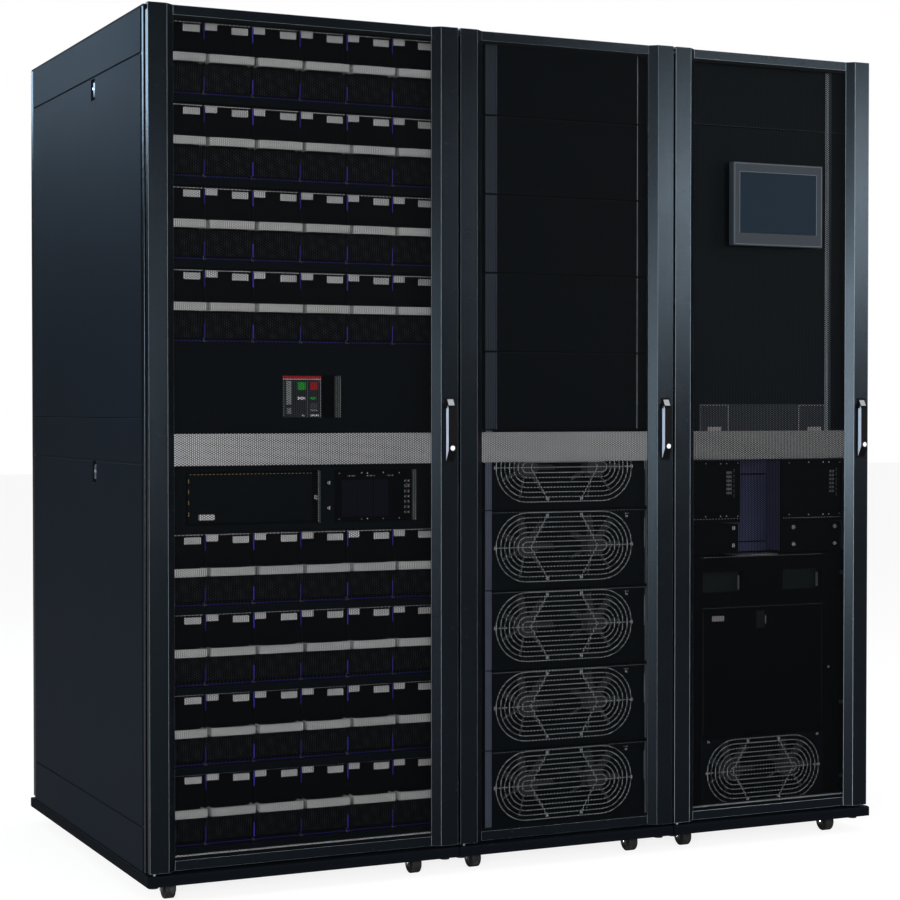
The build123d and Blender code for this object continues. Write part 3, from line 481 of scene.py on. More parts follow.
def startTree(name, inputs):
    tree = bpy.data.node_groups.new(name, "GeometryNodeTree")
    tree.is_modifier = True
    tree.interface.new_socket("Geometry", in_out="INPUT", socket_type="NodeSocketGeometry")
    for label, kind in inputs:
        tree.interface.new_socket(label, in_out="INPUT", socket_type="NodeSocket" + kind)
    tree.interface.new_socket("Geometry", in_out="OUTPUT", socket_type="NodeSocketGeometry")
    source = tree.nodes.new("NodeGroupInput")
    return tree, source


def treeNode(tree, kind, links=None, values=None, **settings):
    node = tree.nodes.new(kind)
    for key, setting in settings.items():
        setattr(node, key, setting)
    for key, value in (values or {}).items():
        node.inputs[key].default_value = value
    for key, socket in (links or {}).items():
        tree.links.new(socket, node.inputs[key])
    return node


def endTree(tree, source, geometry):
    real = treeNode(tree, "GeometryNodeRealizeInstances", {"Geometry": geometry})
    dressed = treeNode(tree, "GeometryNodeSetMaterial",
                       {"Geometry": real.outputs[0], "Material": source.outputs["Material"]})
    sink = tree.nodes.new("NodeGroupOutput")
    tree.links.new(dressed.outputs[0], sink.inputs[0])
    return tree


def makeBlockTree():
    # blocks in columns and rows
    tree, source = startTree("blockRows", (("Columns", "Int"), ("Rows", "Int"), ("Start", "Vector"),
                                           ("Column Step", "Vector"), ("Row Step", "Vector"),
                                           ("Size", "Vector"), ("Material", "Material")))
    out = source.outputs
    columns = treeNode(tree, "GeometryNodeMeshLine", {"Count": out["Columns"], "Start Location": out["Start"],
                                                      "Offset": out["Column Step"]})
    rows = treeNode(tree, "GeometryNodeMeshLine", {"Count": out["Rows"], "Offset": out["Row Step"]})
    grid = treeNode(tree, "GeometryNodeInstanceOnPoints", {"Points": columns.outputs[0],
                                                           "Instance": rows.outputs[0]})
    points = treeNode(tree, "GeometryNodeRealizeInstances", {"Geometry": grid.outputs[0]})
    cube = treeNode(tree, "GeometryNodeMeshCube", {"Size": out["Size"]})
    blocks = treeNode(tree, "GeometryNodeInstanceOnPoints", {"Points": points.outputs[0],
                                                             "Instance": cube.outputs["Mesh"]})
    return endTree(tree, source, blocks.outputs[0])


def makeStudTree():
    # round studs with a domed top on given points
    tree, source = startTree("roundStuds", (("Radius", "Float"), ("Top Radius", "Float"), ("Height", "Float"),
                                            ("Sides", "Int"), ("Turn", "Vector"), ("Material", "Material")))
    out = source.outputs
    stud = treeNode(tree, "GeometryNodeMeshCone", {"Vertices": out["Sides"], "Radius Top": out["Top Radius"],
                                                   "Radius Bottom": out["Radius"], "Depth": out["Height"]})
    placed = treeNode(tree, "GeometryNodeInstanceOnPoints", {"Points": out["Geometry"],
                                                             "Instance": stud.outputs["Mesh"],
                                                             "Rotation": out["Turn"]})
    return endTree(tree, source, placed.outputs[0])


def makeWireTree():
    # round wire along the edges of a mesh
    tree, source = startTree("roundWires", (("Wire Radius", "Float"), ("Sides", "Int"),
                                            ("Material", "Material")))
    out = source.outputs
    curve = treeNode(tree, "GeometryNodeMeshToCurve", {"Mesh": out["Geometry"]})
    profile = treeNode(tree, "GeometryNodeCurvePrimitiveCircle", {"Resolution": out["Sides"],
                                                                  "Radius": out["Wire Radius"]})
    wire = treeNode(tree, "GeometryNodeCurveToMesh", {"Curve": curve.outputs[0],
                                                      "Profile Curve": profile.outputs[0]},
                    {"Fill Caps": True})
    return endTree(tree, source, wire.outputs[0])


blockTree = makeBlockTree()
studTree = makeStudTree()
wireTree = makeWireTree()


def grown(tree, name, body, slotName, mesh, material, **inputs):
    # a tree run on a mesh and kept as a plain piece
    draft = bpy.data.objects.new(name + "Draft", mesh)
    bpy.context.scene.collection.objects.link(draft)
    grow = draft.modifiers.new("grow", "NODES")
    grow.node_group = tree
    given = {key.replace("_", " "): value for key, value in inputs.items()}
    given["Material"] = material
    for item in tree.interface.items_tree:
        if item.in_out == "INPUT" and item.name in given:
            grow[item.identifier] = given[item.name]
    return newPiece(name, settled(draft), body, slotName, material)


def pointMesh(name, points):
    mesh = bpy.data.meshes.new(name)
    mesh.from_pydata([tuple(p) for p in points], [], [])
    return mesh


def blocks(name, body, slotName, material, low, size, columns=1, columnPitch=0.0, rows=1, rowPitch=0.0):
    # low is (u, v, z) of the first block's low corner, sizes and pitches in mm
    start = at(*low) + Vector(size) * mm / 2
    return grown(blockTree, name, body, slotName, pointMesh(name, [(0, 0, 0)]), material,
                 Columns=columns, Rows=rows, Start=start, Size=Vector(size) * mm,
                 Column_Step=Vector((columnPitch * mm, 0, 0)), Row_Step=Vector((0, 0, rowPitch * mm)))


def trim(name, material, low, size, **repeat):
    return blocks(name, "cabinets", "inner_black", material, low, size, **repeat)


frontTurn = Vector((math.radians(90.0), 0.0, 0.0))  # a stud's axis towards the front


def studs(name, body, slotName, material, places, radius, height, sides=12, top=0.7, turn=frontTurn):
    # places are (u, v, z) in mm of the stud's foot
    return grown(studTree, name, body, slotName, pointMesh(name, [at(*p) for p in places]), material,
                 Radius=radius * mm, Top_Radius=radius * top * mm, Height=height * mm, Sides=sides, Turn=turn)


# battery modules

battery = {
    "left": 35.0, "pitch": 118.0, "columns": 6, "rows": 4, "height": 166.0, "face": 62.0,
    # finish, place across, rise from the face, from the foot or top, height over that, size
    "marks": {
        "WideLabels": (stickerWhite, 70.0, 0.4, "top", -22.0, (40.0, 0.4, 15.5)),
        "SmallLabels": (stickerWhite, 5.5, 0.4, "top", -16.5, (28.0, 0.4, 14.0)),
        "TopEdges": (stickerWhite, 3.0, 0.8, "top", -2.0, (112.0, 0.8, 1.4)),
        "CornerTrims": (violetTrim, 1.4, 1.0, "top", -38.0, (2.6, 1.2, 35.0)),
        "FootTrims": (violetTrim, 1.4, 1.0, "foot", 9.0, (2.4, 1.2, 33.0)),
        "FootLines": (blueTrim, 2.5, 0.8, "foot", 2.0, (113.0, 0.8, 2.6)),
        "Clips": (bezelEdge, -2.0, 3.0, "foot", 1.0, (8.0, 3.0, 3.0)),
        "ClipPosts": (bezelEdge, -2.0, 3.0, "foot", 4.0, (2.6, 3.0, 5.0)),
    },
    "screwFace": 30.0, "screwHeight": 80.5, "screwRadius": 1.8, "screwDepth": 3.0, "screwSides": 8,
}
for blockName, (rowFoot, rowPitch) in batteryRows.items():
    left, pitch, face = battery["left"], battery["pitch"], battery["face"]
    levels = {"foot": rowFoot, "top": rowFoot + battery["height"]}
    count = dict(columns=battery["columns"], columnPitch=pitch, rows=battery["rows"], rowPitch=rowPitch)
    for name, (material, across, rise, level, up, size) in battery["marks"].items():
        blocks(f"{blockName}{name}", "cabinets", "module_plastic", material,
               (left + across, face - rise, levels[level] + up), size, **count)
    places = [(left + column * pitch, battery["screwFace"], rowFoot + row * rowPitch + battery["screwHeight"])
              for row in range(battery["rows"]) for column in range(1, battery["columns"])]
    studs(f"{blockName}GripScrews", "cabinets", "zinc_steel", screwPaleHighlight, places,
          battery["screwRadius"], battery["screwDepth"], battery["screwSides"])
print("battery modules dressed")

# battery switchgear

switchgear = {
    "breaker": (347.0, 62.0), "buttonRise": 3.0, "labelRise": 0.6, "leftDoor": 75.0, "rightFace": 86.0,
    "edgeColumns": (484.0, 499.0, 556.0, 571.0, 612.0, 654.0), "edgeHeights": (966.5, 856.5),
    "stripFace": 60.2, "stripWidth": 0.8,
}
u0, v0 = switchgear["breaker"]
rise = switchgear["buttonRise"]
flat = switchgear["labelRise"]
pieces = (
    ("breakerTopStrip", redTrim, (u0, v0 - 1.2, 1190.6), (97.0, 1.2, 6.6)),
    ("breakerTopLine", stickerWhite, (u0 + 1, v0 - 1.3, 1188.6), (95.0, 1.3, 1.6)),
    ("breakerSideStrip", sleeveGrey, (355.5, v0 - 1.6, 1130.0), (11.5, 1.6, 55.0)),
    ("breakerEdgeLine", greyTrim, (349.0, v0 - 1.0, 1103.0), (1.6, 1.0, 82.0)),
    ("breakerGreenButton", greenTrim, (384.4, v0 - rise, 1164.6), (18.6, rise, 17.5)),
    ("breakerRedButton", redTrim, (415.8, v0 - rise, 1164.7), (18.0, rise, 17.5)),
    ("breakerWhiteMark", stickerWhite, (384.3, v0 - flat, 1141.5), (18.6, flat, 6.6)),
    ("breakerGreenMark", greenTrim, (415.0, v0 - flat, 1141.5), (15.4, flat, 6.2)),
    ("breakerCounter", greyTrim, (415.5, v0 - 1.2, 1114.5), (18.5, 1.2, 4.2)),
    ("breakerDial", bezelEdge, (415.5, v0 - 2.0, 1120.5), (18.5, 2.0, 13.0)),
    ("breakerLowerMark", stickerWhite, (415.7, v0 - flat, 1102.6), (23.3, flat, 3.8)),
    ("breakerSmallMark", stickerWhite, (395.0, v0 - flat, 1102.6), (7.0, flat, 3.4)),
    ("breakerLever", greyTrim, (356.5, v0 - 6.0, 1108.0), (8.6, 6.0, 14.0)),
    ("breakerRightLine", greyTrim, (441.0, v0 - 1.0, 1100.0), (1.6, 1.0, 86.0)),
    ("breakerRib", bezelEdge, (406.6, v0 - 1.5, 1100.0), (3.0, 1.5, 84.0)),
)
for name, material, low, size in pieces:
    blocks(name, "cabinets", "breaker_grey", material, low, size)

door = switchgear["leftDoor"]
face = switchgear["rightFace"]
trim("terminalDoor", innerBlack, (117.0, door - 2.0, 857.0), (308.0, 2.0, 113.0))
trim("terminalDoorTopLine", goldTrim, (120.0, door - 2.6, 967.6), (303.0, 0.6, 1.2))
trim("terminalDoorHinges", goldTrim, (118.6, door - 3.2, 872.0), (2.0, 1.2, 10.0),
       rows=4, rowPitch=25.6)
trim("terminalLabel", stickerWhite, (144.1, door - 2.5, 862.4), (38.3, 0.5, 13.0))
studs("terminalLockRing", "cabinets", "zinc_steel", screwPaleHighlight, [(434.5, door - 1.2, 910.6)], 5.6, 2.4, 24, 0.85)
studs("terminalLockCore", "cabinets", "inner_black", goldTrim, [(434.5, door - 2.5, 910.6)], 2.4, 1.2, 16, 0.9)
studs("switchPanelScrews", "cabinets", "zinc_steel", screwPaleHighlight,
      [(460.8, 56.0, 945.7), (460.8, 56.0, 885.9), (40.0, 56.0, 1240.0), (40.0, 56.0, 860.0),
       (735.0, 56.0, 1240.0), (735.0, 56.0, 860.0)], 4.2, 2.4, 16)
edgeDots = [(u, face - 0.6, z) for u in switchgear["edgeColumns"] for z in switchgear["edgeHeights"]]
studs("connectorBoxScrews", "cabinets", "zinc_steel", screwPaleHighlight, edgeDots, 2.0, 1.6, 10)
trim("connectorBoxMarks", greyTrim, (520.0, face - 0.5, 958.5), (20.0, 0.5, 2.4),
       columns=3, columnPitch=50.0)
trim("connectorBoxRibs", navyTrim, (506.0, face - 1.0, 862.0), (38.0, 1.0, 88.0),
       columns=3, columnPitch=41.0)
trim("connectorColumn", deepBlack, (662.0, face - 5.0, 862.0), (24.0, 5.0, 100.0))
trim("connectorPorts", greyTrim, (666.0, face - 6.0, 868.0), (5.0, 1.2, 6.0),
       columns=2, columnPitch=9.0, rows=7, rowPitch=12.6)
trim("connectorLamps", goldTrim, (671.0, face - 6.6, 931.0), (2.4, 1.6, 2.4),
       columns=2, columnPitch=7.0, rows=2, rowPitch=7.0)
strips = (("breakerWindowStrip", 491.5, 35.0, 1099.0, 99.0), ("leftWindowStrip", 439.0, 14.6, 852.0, 122.0),
          ("rightWindowStrip", 688.5, 25.6, 852.0, 122.0))
for name, u, deep, z, tall in strips:
    blocks(name, "cabinets", "sleeve_grey", sleeveGrey, (u, switchgear["stripFace"], z),
           (switchgear["stripWidth"], deep, tall))
print("battery switchgear dressed")

# fan guards

guards = {
    "wireRadius": 1.15, "sides": 6, "ringStep": 12.0, "rings": 7, "arcSteps": 14,
    "tabSpread": 47.5, "crossSpread": 94.0, "tabDrop": 8.0,
    "power": {"centre": 1078.0, "face": 32.0, "width": 383.0, "height": 172.0,
              "middles": [90.0 + 196.0 * k + 101.5 for k in range(5)]},
    "bypass": {"centre": 1675.0, "face": 45.0, "width": 348.0, "height": 168.0,
               "middles": [180.0]},
}


def guardEdges(points, edges, centre, face, width, height, z):
    # the wires of one guard as edges: rings, a middle wire and two bent cross wires
    def run(path, closed):
        first = len(points)
        points.extend(at(centre + x, v, z + y) for x, v, y in path)
        edges.extend((first + i, first + i + 1) for i in range(len(path) - 1))
        if closed:
            edges.append((first + len(path) - 1, first))
    wire = guards["wireRadius"]
    ringV = face - 3.2 * wire
    crossV = face - 1.2 * wire
    for ring in range(guards["rings"]):
        w = width / 2 - wire - ring * guards["ringStep"]
        h = height / 2 - wire - ring * guards["ringStep"]
        path = []
        for side in (1, -1):
            for step in range(guards["arcSteps"] + 1):
                turn = math.pi * step / guards["arcSteps"] - math.pi / 2
                path.append((side * (w - h + h * math.cos(turn)), ringV, side * h * math.sin(turn)))
        run(path, True)
    spread, cross = guards["tabSpread"], guards["crossSpread"]
    run([(-width / 2 + wire, crossV, 0.0), (width / 2 - wire, crossV, 0.0)], False)
    for side in (1, -1):
        reach = height / 2 - guards["tabDrop"]
        bent = [(side * spread, crossV, reach), (side * cross, crossV, 0.0), (side * spread, crossV, -reach)]
        run(bent, False)


points, edges, tabs = [], [], []
for place in ("power", "bypass"):
    g = guards[place]
    for z in g["middles"]:
        guardEdges(points, edges, g["centre"], g["face"], g["width"], g["height"], z)
        side, spread, reach = g["width"] / 2, guards["tabSpread"], g["height"] / 2 - guards["tabDrop"]
        for x, y in ((side, 0), (-side, 0), (spread, reach), (-spread, reach), (spread, -reach),
                     (-spread, -reach)):
            tabs.append((g["centre"] + x, g["face"] - 1.6, z + y))
wireMesh = bpy.data.meshes.new("guardEdges")
wireMesh.from_pydata([tuple(p) for p in points], edges, [])
guardPiece = grown(wireTree, "fanGuards", "cabinets", "guard_wire", wireMesh, guardWire,
                   Wire_Radius=guards["wireRadius"] * mm, Sides=guards["sides"])
guardPiece.data.shade_smooth()
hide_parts("fan_guards")
studs("guardTabs", "cabinets", "guard_wire", guardWire, tabs, 4.6, 2.0, 14, 0.9)
studs("guardScrews", "cabinets", "zinc_steel", screwPaleHighlight, [(u, v - 1.6, z) for u, v, z in tabs], 2.6, 1.6, 10)
print("fan guards wired")

# power modules and blank panels

power = {"left": 858.0, "width": 456.0, "face": 32.0, "pitch": 196.0, "rows": 5, "bottom": 90.0,
         "blankBottom": 1070.0, "blankPitch": 191.0, "blankHeight": 188.0, "topHeight": 172.0,
         "blankRows": 4, "fieldLeft": 890.0, "fieldRight": 1284.0, "latch": 1255.0}
left, face, wide = power["left"], power["face"], power["width"]
foot = power["bottom"]
each = dict(rows=power["rows"], rowPitch=power["pitch"])
trim("powerModuleSeams", deepBlack, (left, face - 0.8, foot + 189.0),
       (wide, 0.8, 7.0), **each)
trim("powerModuleTopLines", greyTrim, (left + 22, face - 1, foot + 187.4),
       (wide - 26, 1.0, 1.0), **each)
blocks("powerRightLine", "cabinets", "pale_steel", railStrip, (left + wide - 4.5, face - 1.4, foot + 2),
       (4.0, 1.4, 184.0), **each)
blocks("powerRightBars", "cabinets", "pale_steel", railStrip, (left + wide - 7.5, face - 1.8, foot + 92),
       (6.5, 1.8, 74.0), **each)
trim("powerModuleLatches", greyTrim,
       (power["latch"] - 6.0, face - 2, foot + 178.0), (12.0, 2.0, 2.6), **each)
pins = [(power["latch"], face - 1, foot + 172.5 + power["pitch"] * k) for k in range(power["rows"])]
studs("powerLatchPins", "cabinets", "zinc_steel", screwPaleHighlight, pins, 3.2, 2.4, 10)
blank = dict(rows=power["blankRows"], rowPitch=power["blankPitch"])
field = power["fieldRight"] - power["fieldLeft"]
low, tall, high = power["blankBottom"], power["blankHeight"], power["topHeight"]
topLow = low + power["blankRows"] * power["blankPitch"]  # the top panel is lower than the others
trim("blankPanelLines", recessGreen,
       (power["fieldLeft"], face - 0.6, low + tall - 1.6), (field, 0.6, 1.4), **blank)
trim("blankPanelFlanges", deepBlack, (left, 46.0, low + tall - 6),
       (wide, 1.0, 12.0), **blank)
for name, u, rise, width, material in (("blankLeftField", left + 2, 0.6, 29.0, railGrey),
                                       ("blankLeftEdge", power["fieldLeft"], 1.6, 1.7, railStrip),
                                       ("blankRightEdge", power["fieldRight"], 1.6, 1.7, railStrip)):
    trim(f"{name}s", material, (u, face - rise, low + 1),
           (width, rise, tall - 2), **blank)
    trim(f"{name}Top", material, (u, face - rise, topLow + 1),
           (width, rise, high - 2))
print("power cabinet dressed")

# bypass cabinet

bypass = {
    "plate": 46.0, "boxes": 44.0, "module": 45.0,  # front faces
    "boxPorts": {"left": 1560.0, "right": 1880.0},
    "screwColumns": (1497.0, 1541.4, 1559.0, 1594.7, 1752.7, 1815.1, 1860.3, 1877.8, 1913.1),
    "screwHeights": (979.0, 842.0), "thumbFace": 50.5,
    "thumbs": ((1585.8, 810.9), (1585.9, 765.8), (1772.1, 808.7), (1772.3, 764.5), (1902.9, 808.5),
               (1903.1, 763.2)),
    "moduleThumbs": ((1844.0, 260.8), (1879.0, 436.6), (1506.0, 260.8)),
    "clip": (9.0, 6.0, 9.0), "clips": {"frameClips": 681.0, "frameClipMiddle": 337.0, "frameClipLow": 141.0},
}
v = bypass["plate"]
for name, u, w in (("plateFieldLeft", 1481.0, 85.0), ("plateFieldRight", 1784.0, 86.0)):
    blocks(name + "Top", "cabinets", "label_grey", stickerPale, (u, v - 0.5, 1128.5), (w, 0.5, 1.2))
    blocks(name + "Sides", "cabinets", "label_grey", stickerPale, (u, v - 0.5, 1057.0), (1.2, 0.5, 72.0),
           columns=2, columnPitch=w - 1.2)
blocks("plateStickerLeft", "cabinets", "label_grey", stickerPale, (1502.8, v - 0.7, 1058.4), (41.0, 0.7, 15.0))
blocks("plateStickerRight", "cabinets", "label_grey", stickerPale, (1811.8, v - 0.7, 1058.4), (43.0, 0.7, 13.8))
v = bypass["boxes"]
for side, ports in bypass["boxPorts"].items():
    trim(f"{side}BoxPorts", greyTrim, (ports, v - 2.0, 899.0), (5.0, 2.0, 6.5),
           columns=2, columnPitch=8.5, rows=6, rowPitch=10.5)
    trim(f"{side}BoxCircuit", bezelEdge, (ports + 20, v - 1.5, 890.0),
           (3.0, 1.5, 9.0), rows=6, rowPitch=13.0)
edgeScrews = [(u, v - 0.6, z) for u in bypass["screwColumns"] for z in bypass["screwHeights"]]
studs("terminalBoxScrews", "cabinets", "zinc_steel", screwPaleHighlight, edgeScrews, 2.0, 1.4, 10)
thumbs = [(u, bypass["thumbFace"], z) for u, z in bypass["thumbs"]]
studs("thumbScrews", "cabinets", "zinc_steel", screwPaleHighlight, thumbs, 5.4, 3.4, 18)
trim("leftBoxFootLine", greyTrim, (1409.0, v - 0.6, 835.0), (192.0, 0.6, 1.4))
trim("rightBoxFootLine", greyTrim, (1734.0, v - 0.6, 833.0), (188.0, 0.6, 1.4))
blocks("bayRibs", "cabinets", "bay_violet", deepBlack, (1603.0, 118.6, 768.0), (128.0, 1.6, 3.4),
       rows=2, rowPitch=178.0)
blocks("baySideSkin", "cabinets", "bay_violet", bayViolet, (1730.8, 53.0, 748.0), (0.8, 65.0, 236.0))
blocks("bayFloorStrip", "cabinets", "pale_steel", paleSteel, (1603.0, 60.0, 738.0), (128.0, 58.0, 2.0))
v = bypass["module"]
trim("pullBars", greyTrim, (1611.0, v + 20.0, 650.0), (2.0, 6.0, 36.0),
       columns=2, columnPitch=246.0)
trim("pullBacks", recessGreen, (1492.6, v + 28.6, 644.5), (122.0, 1.2, 53.0),
       columns=2, columnPitch=246.0)
trim("catchBar", greyTrim, (1682.0, v + 1.0, 560.0), (1.8, 3.0, 21.0))
trim("catchBack", recessGreen, (1657.4, v + 6.8, 548.0), (28.0, 1.0, 45.0))
trim("moduleLabel", stickerPale, (1517.5, v - 0.5, 571.5), (36.4, 0.5, 13.4))
trim("moduleSeam", bezelEdge, (1488.0, v - 0.4, 605.0), (374.0, 0.4, 1.2))
trim("moduleTopLine", greyTrim, (1488.0, v - 0.6, 736.4), (374.0, 0.6, 1.2))
trim("moduleSideLines", bezelEdge, (1490.0, v - 0.4, 280.0), (1.0, 0.4, 320.0),
       columns=2, columnPitch=368.0)
studs("moduleThumbs", "cabinets", "zinc_steel", screwPaleHighlight,
      [(u, v - 1.6, z) for u, z in bypass["moduleThumbs"]], 3.4, 3.2, 14)
for name, z in bypass["clips"].items():
    blocks(name, "cabinets", "pale_steel", paleSteel, (1915.0, 38.0, z), bypass["clip"])
blocks("bypassSideStrip", "cabinets", "pale_steel", railGrey, (1878.0, 47.2, 1061.0), (8.0, 0.8, 942.0))
trim("upperPanelLine", bezelEdge, (1409.0, 49.2, 1848.5), (534.0, 0.8, 1.2))
print("bypass cabinet dressed")

# display on the bypass door

display = {
    "left": 1547.0, "right": 1821.0, "bottom": 1538.0, "top": 1751.0, "front": -5.0, "inset": 3.0,
    "rimWidth": 1.6, "rimDepth": 0.8, "rimRise": 0.6, "rimSides": 205.6, "rimTop": 4.2,
    "screenInset": 18.4, "screenTop": 25.0, "screenFoot": 32.0, "screenSides": 157.0,
    "screenRim": 1.4, "screenDepth": 0.6, "screenRise": 0.4,
}
softened("display_screen", "displayScreen", screenGlass, 0.3)
w = display["right"] - display["left"]
left, front = display["left"] + display["inset"], display["front"] - display["rimRise"]
foot, inner = display["bottom"] + display["inset"], w - 2 * display["inset"]
thick, deep = display["rimWidth"], display["rimDepth"]
blocks("displayRimTop", "bypass_door", "bezel_black", bezelEdge,
       (left, front, display["top"] - display["rimTop"]), (inner, deep, thick))
blocks("displayRimSides", "bypass_door", "bezel_black", bezelEdge, (left, front, foot),
       (thick, deep, display["rimSides"]), columns=2, columnPitch=inner - thick)
blocks("displayRimFoot", "bypass_door", "bezel_black", bezelEdge, (left, front, foot), (inner, deep, thick))
left, front = display["left"] + display["screenInset"], display["front"] - display["screenRise"]
inner, thick, deep = w - 2 * display["screenInset"], display["screenRim"], display["screenDepth"]
blocks("screenRimTop", "bypass_door", "bezel_black", bezelEdge,
       (left, front, display["top"] - display["screenTop"]), (inner, deep, thick))
blocks("screenRimSide", "bypass_door", "bezel_black", bezelEdge,
       (left, front, display["bottom"] + display["screenFoot"]), (thick, deep, display["screenSides"]),
       columns=2, columnPitch=inner - thick)
print("display dressed")

# door handles

handle = {
    "doorRight": {"battery": 771.5, "power": 1371.5, "bypass": 1971.5}, "centreInset": 22.25,
    "width": 20.0, "back": -1.5, "front": -16.0, "top": 1144.0, "topSlant": 24.0, "edge": 0.8,
    "skin": 0.7, "skinRise": 0.25, "skinBack": -2.4, "skinFront": -15.2, "skinDrop": 17.6, "skinInset": 0.9,
    "skinHeights": (1126.4, 1119.6, 1020.4, 996.6),
    "capDrop": 17.0, "capShares": (0.10, 0.94), "capHalf": 7.6, "capSunk": 0.3, "capRise": 0.6,
    "lock": (-16.5, 1026.0), "collar": (8.6, 1.2, 28, 0.95),  # radius, height, sides, taper
}


def prism(name, outline, uLow, uHigh):
    # an outline in (v, z) drawn out along the row
    mesh = bpy.data.meshes.new(name)
    work = bmesh.new()
    rings = [[work.verts.new(at(u, v, z)) for v, z in outline] for u in (uLow, uHigh)]
    work.faces.new(rings[0])
    work.faces.new(list(reversed(rings[1])))
    for i in range(len(outline)):
        j = (i + 1) % len(outline)
        work.faces.new((rings[0][i], rings[1][i], rings[1][j], rings[0][j]))
    bmesh.ops.recalc_face_normals(work, faces=work.faces)
    work.to_mesh(mesh)
    work.free()
    return mesh


def frontOf(drop):
    # the slanting top's front, this far below the top
    return handle["back"] - (handle["back"] - handle["front"]) * drop / handle["topSlant"]


top, upper, lower, foot = handle["skinHeights"]
back, front = handle["skinBack"], handle["skinFront"]
skinOutline = [(back, top), (frontOf(handle["skinDrop"]) + handle["skinInset"], top), (front, upper),
               (front, lower), (back, foot)]
slope = Vector((frontOf(handle["capDrop"]) - handle["back"], -handle["capDrop"]))
away = Vector((slope.y, -slope.x)).normalized()
capLow, capHigh = (Vector((handle["back"], handle["top"])) + slope * share for share in handle["capShares"])
sunk, risen = away * handle["capSunk"], away * handle["capRise"]
capOutline = [tuple(corner) for corner in (capLow - sunk, capHigh - sunk, capHigh + risen, capLow + risen)]
for cabinet, doorRight in handle["doorRight"].items():
    centre = doorRight - handle["centreInset"]
    body = f"{cabinet}_handle"
    softened(f"{cabinet}_door_handle", f"{cabinet}DoorHandle", handleBlack, handle["edge"])
    outside, inside = handle["width"] / 2 + handle["skinRise"], handle["width"] / 2 - handle["skin"]
    for name, low, high in (("LeftSide", centre - outside, centre - inside),
                            ("RightSide", centre + inside, centre + outside)):
        newPiece(f"{cabinet}Handle{name}", prism("plate", skinOutline, low, high), body, "lock_chrome",
                 handleSideReflection)
    cap = prism("cap", capOutline, centre - handle["capHalf"], centre + handle["capHalf"])
    newPiece(f"{cabinet}HandleCap", cap, f"{cabinet}_door", "silver_band", silverPlain)
    studs(f"{cabinet}LockCollar", body, "handle_black", handleBlack, [(centre, *handle["lock"])],
          *handle["collar"])
print("handles dressed")

# casters and side panel latches

casters = {
    "left": 62.0, "right": 97.0, "setback": 55.0, "depth": 1070.0, "headInset": 17.1, "axle": 25.0,
    "widths": {"battery": 775.0, "power": 600.0, "bypass": 600.0},
    "head": (5.2, 1.4, 16, 0.8),  # radius, height, sides, taper
}
sideTurn = Vector((0.0, math.radians(-90.0), 0.0))  # a stud's axis towards the left
hubs = []
for cabinet, start in cabinetStart.items():
    for u in (start + casters["left"], start + casters["widths"][cabinet] - casters["right"]):
        for v in (casters["setback"], casters["depth"] - casters["setback"]):
            hubs.append((u - casters["headInset"], v, casters["axle"]))
studs("casterAxleHeads", "cabinets", "zinc_steel", chrome, hubs, *casters["head"], sideTurn)
latch = {"across": 2.2, "behind": 441.0, "heights": (1896.0, 967.5), "key": (4.0, 1.8, 16, 0.8)}
places = [(latch["across"], latch["behind"], z) for z in latch["heights"]]
studs("latchKeys", "cabinets", "latch_steel", chrome, places, *latch["key"], sideTurn)
print("casters and latches dressed")

# floor, light and camera

studio = {
    "floorSize": 60.0, "floorColour": 0.28, "floorGlow": 0.84, "glossyShare": 0.1,
    "ambient": 0.35, "dimRoom": 0.04, "backdropTurn": 25.2, "backdropHalf": 24.0,
    "backdropBlend": (0.06, 0.03), "skyRise": (0.15, 0.9, 0.6),
    # each lamp's place, aim, (width, height) and watts
    "key": ((-3.65, -5.75, 1.3), (0.3, -0.5, 1.2), (1.3, 1.1), 200.0),
    "left": ((-5.6, -4.9, 1.3), (-0.2, -0.5, 1.2), (1.1, 1.1), 28.0),
    "side": ((-6.2, -0.6, 1.9), (-0.9, -0.1, 1.1), (2.5, 2.5), 150.0),
    "fill": ((3.7, -5.05, 2.15), (0.5, -0.5, 1.4), (1.6, 0.8), 95.0),
    "front": ((-0.3, -6.0, 1.5), (0.0, -0.5, 1.2), (1.4, 1.4), 60.0),
    "right": ((5.5, -2.8, 2.0), (0.0, -0.5, 1.2), (0.8, 3.0), 34.0),
    "rim": ((-2.5, 5.0, 3.1), (-0.9, 0.0, 1.8), (1.2, 1.2), 34.0),
    "top": ((0.6, 0.0, 6.0), (0.3, 0.0, 1.0), (3.0, 3.0), 60.0),
    "rimColour": (0.55, 0.78, 1.0),
}
floorMesh = bpy.data.meshes.new("floor")
half = studio["floorSize"] / 2
floorMesh.from_pydata([(-half, -half, 0), (half, -half, 0), (half, half, 0), (-half, half, 0)], [],
                      [(0, 1, 2, 3)])
floor = bpy.data.objects.new("floor", floorMesh)
bpy.context.scene.collection.objects.link(floor)


def raysOf(finish):
    node = finish.add("ShaderNodeLightPath").socket.node
    return [Value(finish, node.outputs[f"Is {kind} Ray"]) for kind in ("Camera", "Glossy", "Transmission")]


f = Finish("floorPale")
direct, glossy, through = raysOf(f)
grey = studio["floorColour"]
paper = f.mix(f.noise(5.0), tone(grey, grey, grey), tone(grey + 0.01, grey + 0.01, grey + 0.01))
matt = f.add("ShaderNodeBsdfDiffuse", sockets={"Color": paper})
glow = (direct + through + glossy * studio["glossyShare"]) * studio["floorGlow"]
light = f.add("ShaderNodeEmission", sockets={"Color": tone(1, 1, 1), "Strength": glow})
f.out(f.add("ShaderNodeAddShader", sockets={0: matt, 1: light}))
floorMesh.materials.append(f.material)


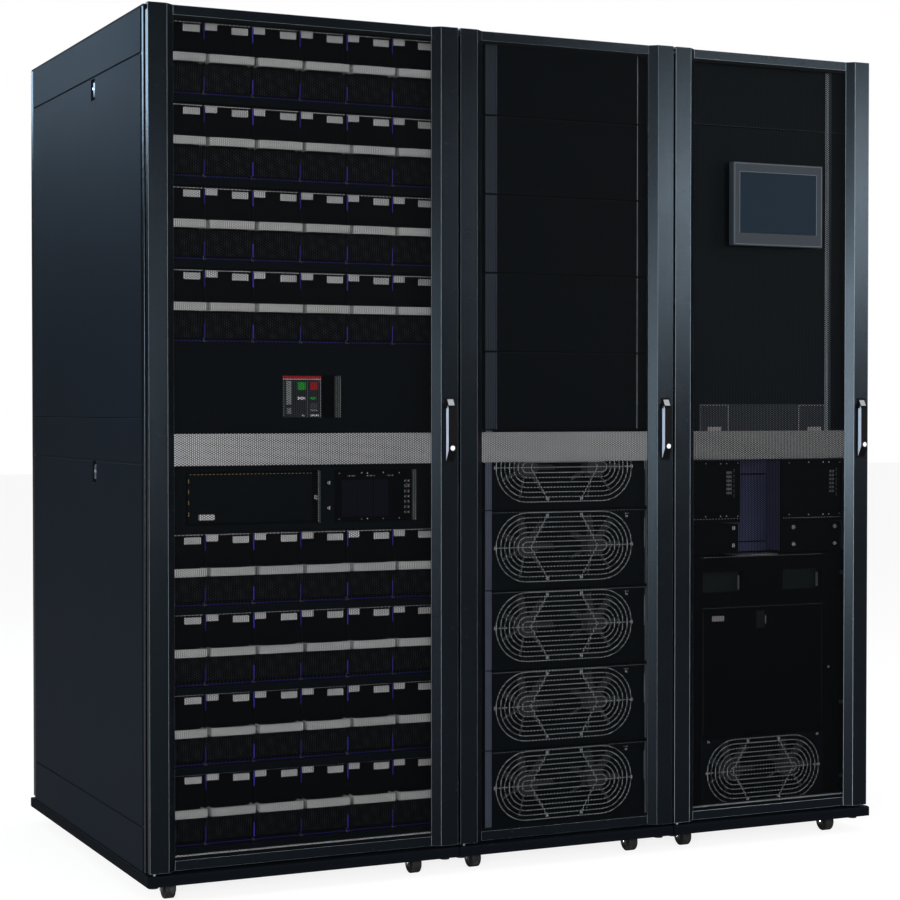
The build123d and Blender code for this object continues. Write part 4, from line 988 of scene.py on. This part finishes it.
class Sky(Finish):
    # the world's own node tree
    def __init__(self, name):
        world = bpy.data.worlds.new(name)
        world.use_nodes = True
        bpy.context.scene.world = world
        self.tree = world.node_tree
        self.tree.nodes.clear()
        self.place = self.add("ShaderNodeTexCoord", output="Generated")


s = Sky("studioWorld")
direct, glossy, through = raysOf(s)
x, y, z = s.axes()
turn = math.radians(studio["backdropTurn"])
facing = x * math.sin(turn) + y * math.cos(turn)  # 1 straight behind the cabinets
edge = math.cos(math.radians(studio["backdropHalf"]))
below, above = studio["backdropBlend"]
backdrop = s.add("ShaderNodeMapRange", {"interpolation_type": "SMOOTHSTEP"},
                 {"Value": facing, "From Min": edge - below, "From Max": edge + above})
low, high, most = studio["skyRise"]
room = backdrop.most(s.add("ShaderNodeMapRange", {"interpolation_type": "SMOOTHSTEP"},
                           {"Value": z, "From Min": low, "From Max": high, "To Max": most}))
mirrored = (glossy + through) * (room * (1.0 - studio["dimRoom"]) + studio["dimRoom"])
others = (1.0 - (direct + glossy + through).least(1.0)) * studio["ambient"]
sky = s.add("ShaderNodeBackground", sockets={"Color": tone(1, 1, 1), "Strength": direct + mirrored + others})
worldOut = s.tree.nodes.new("ShaderNodeOutputWorld")
s.tree.links.new(sky.socket, worldOut.inputs["Surface"])

for name in ("key", "left", "side", "fill", "front", "right", "rim", "top"):
    place, aim, (lampWide, lampTall), watts = studio[name]
    lamp = bpy.data.lights.new(name, "AREA")
    lamp.shape = "RECTANGLE"
    lamp.size = lampWide
    lamp.size_y = lampTall
    lamp.energy = watts
    if name == "rim":
        lamp.color = studio["rimColour"]
    holder = bpy.data.objects.new(name, lamp)
    holder.location = place
    holder.rotation_euler = (Vector(aim) - Vector(place)).to_track_quat("-Z", "Y").to_euler()
    bpy.context.scene.collection.objects.link(holder)

# the photo's own camera, from a fit to the cabinets' corners
view = {"sensor": 36.0, "lens": 83.384, "far": 100.0, "place": (-2.3647, -5.0472, 1.1215),
        "down": 1.15, "turn": -25.207}
lens = bpy.data.cameras.new("camera")
lens.sensor_width = view["sensor"]
lens.lens = view["lens"]
lens.clip_end = view["far"]
camera = bpy.data.objects.new("camera", lens)
camera.location = view["place"]
camera.rotation_euler = (math.radians(90.0 - view["down"]), 0.0, math.radians(view["turn"]))
bpy.context.scene.collection.objects.link(camera)
bpy.context.scene.camera = camera
bpy.context.scene.view_settings.view_transform = "Standard"
print("studio ready")
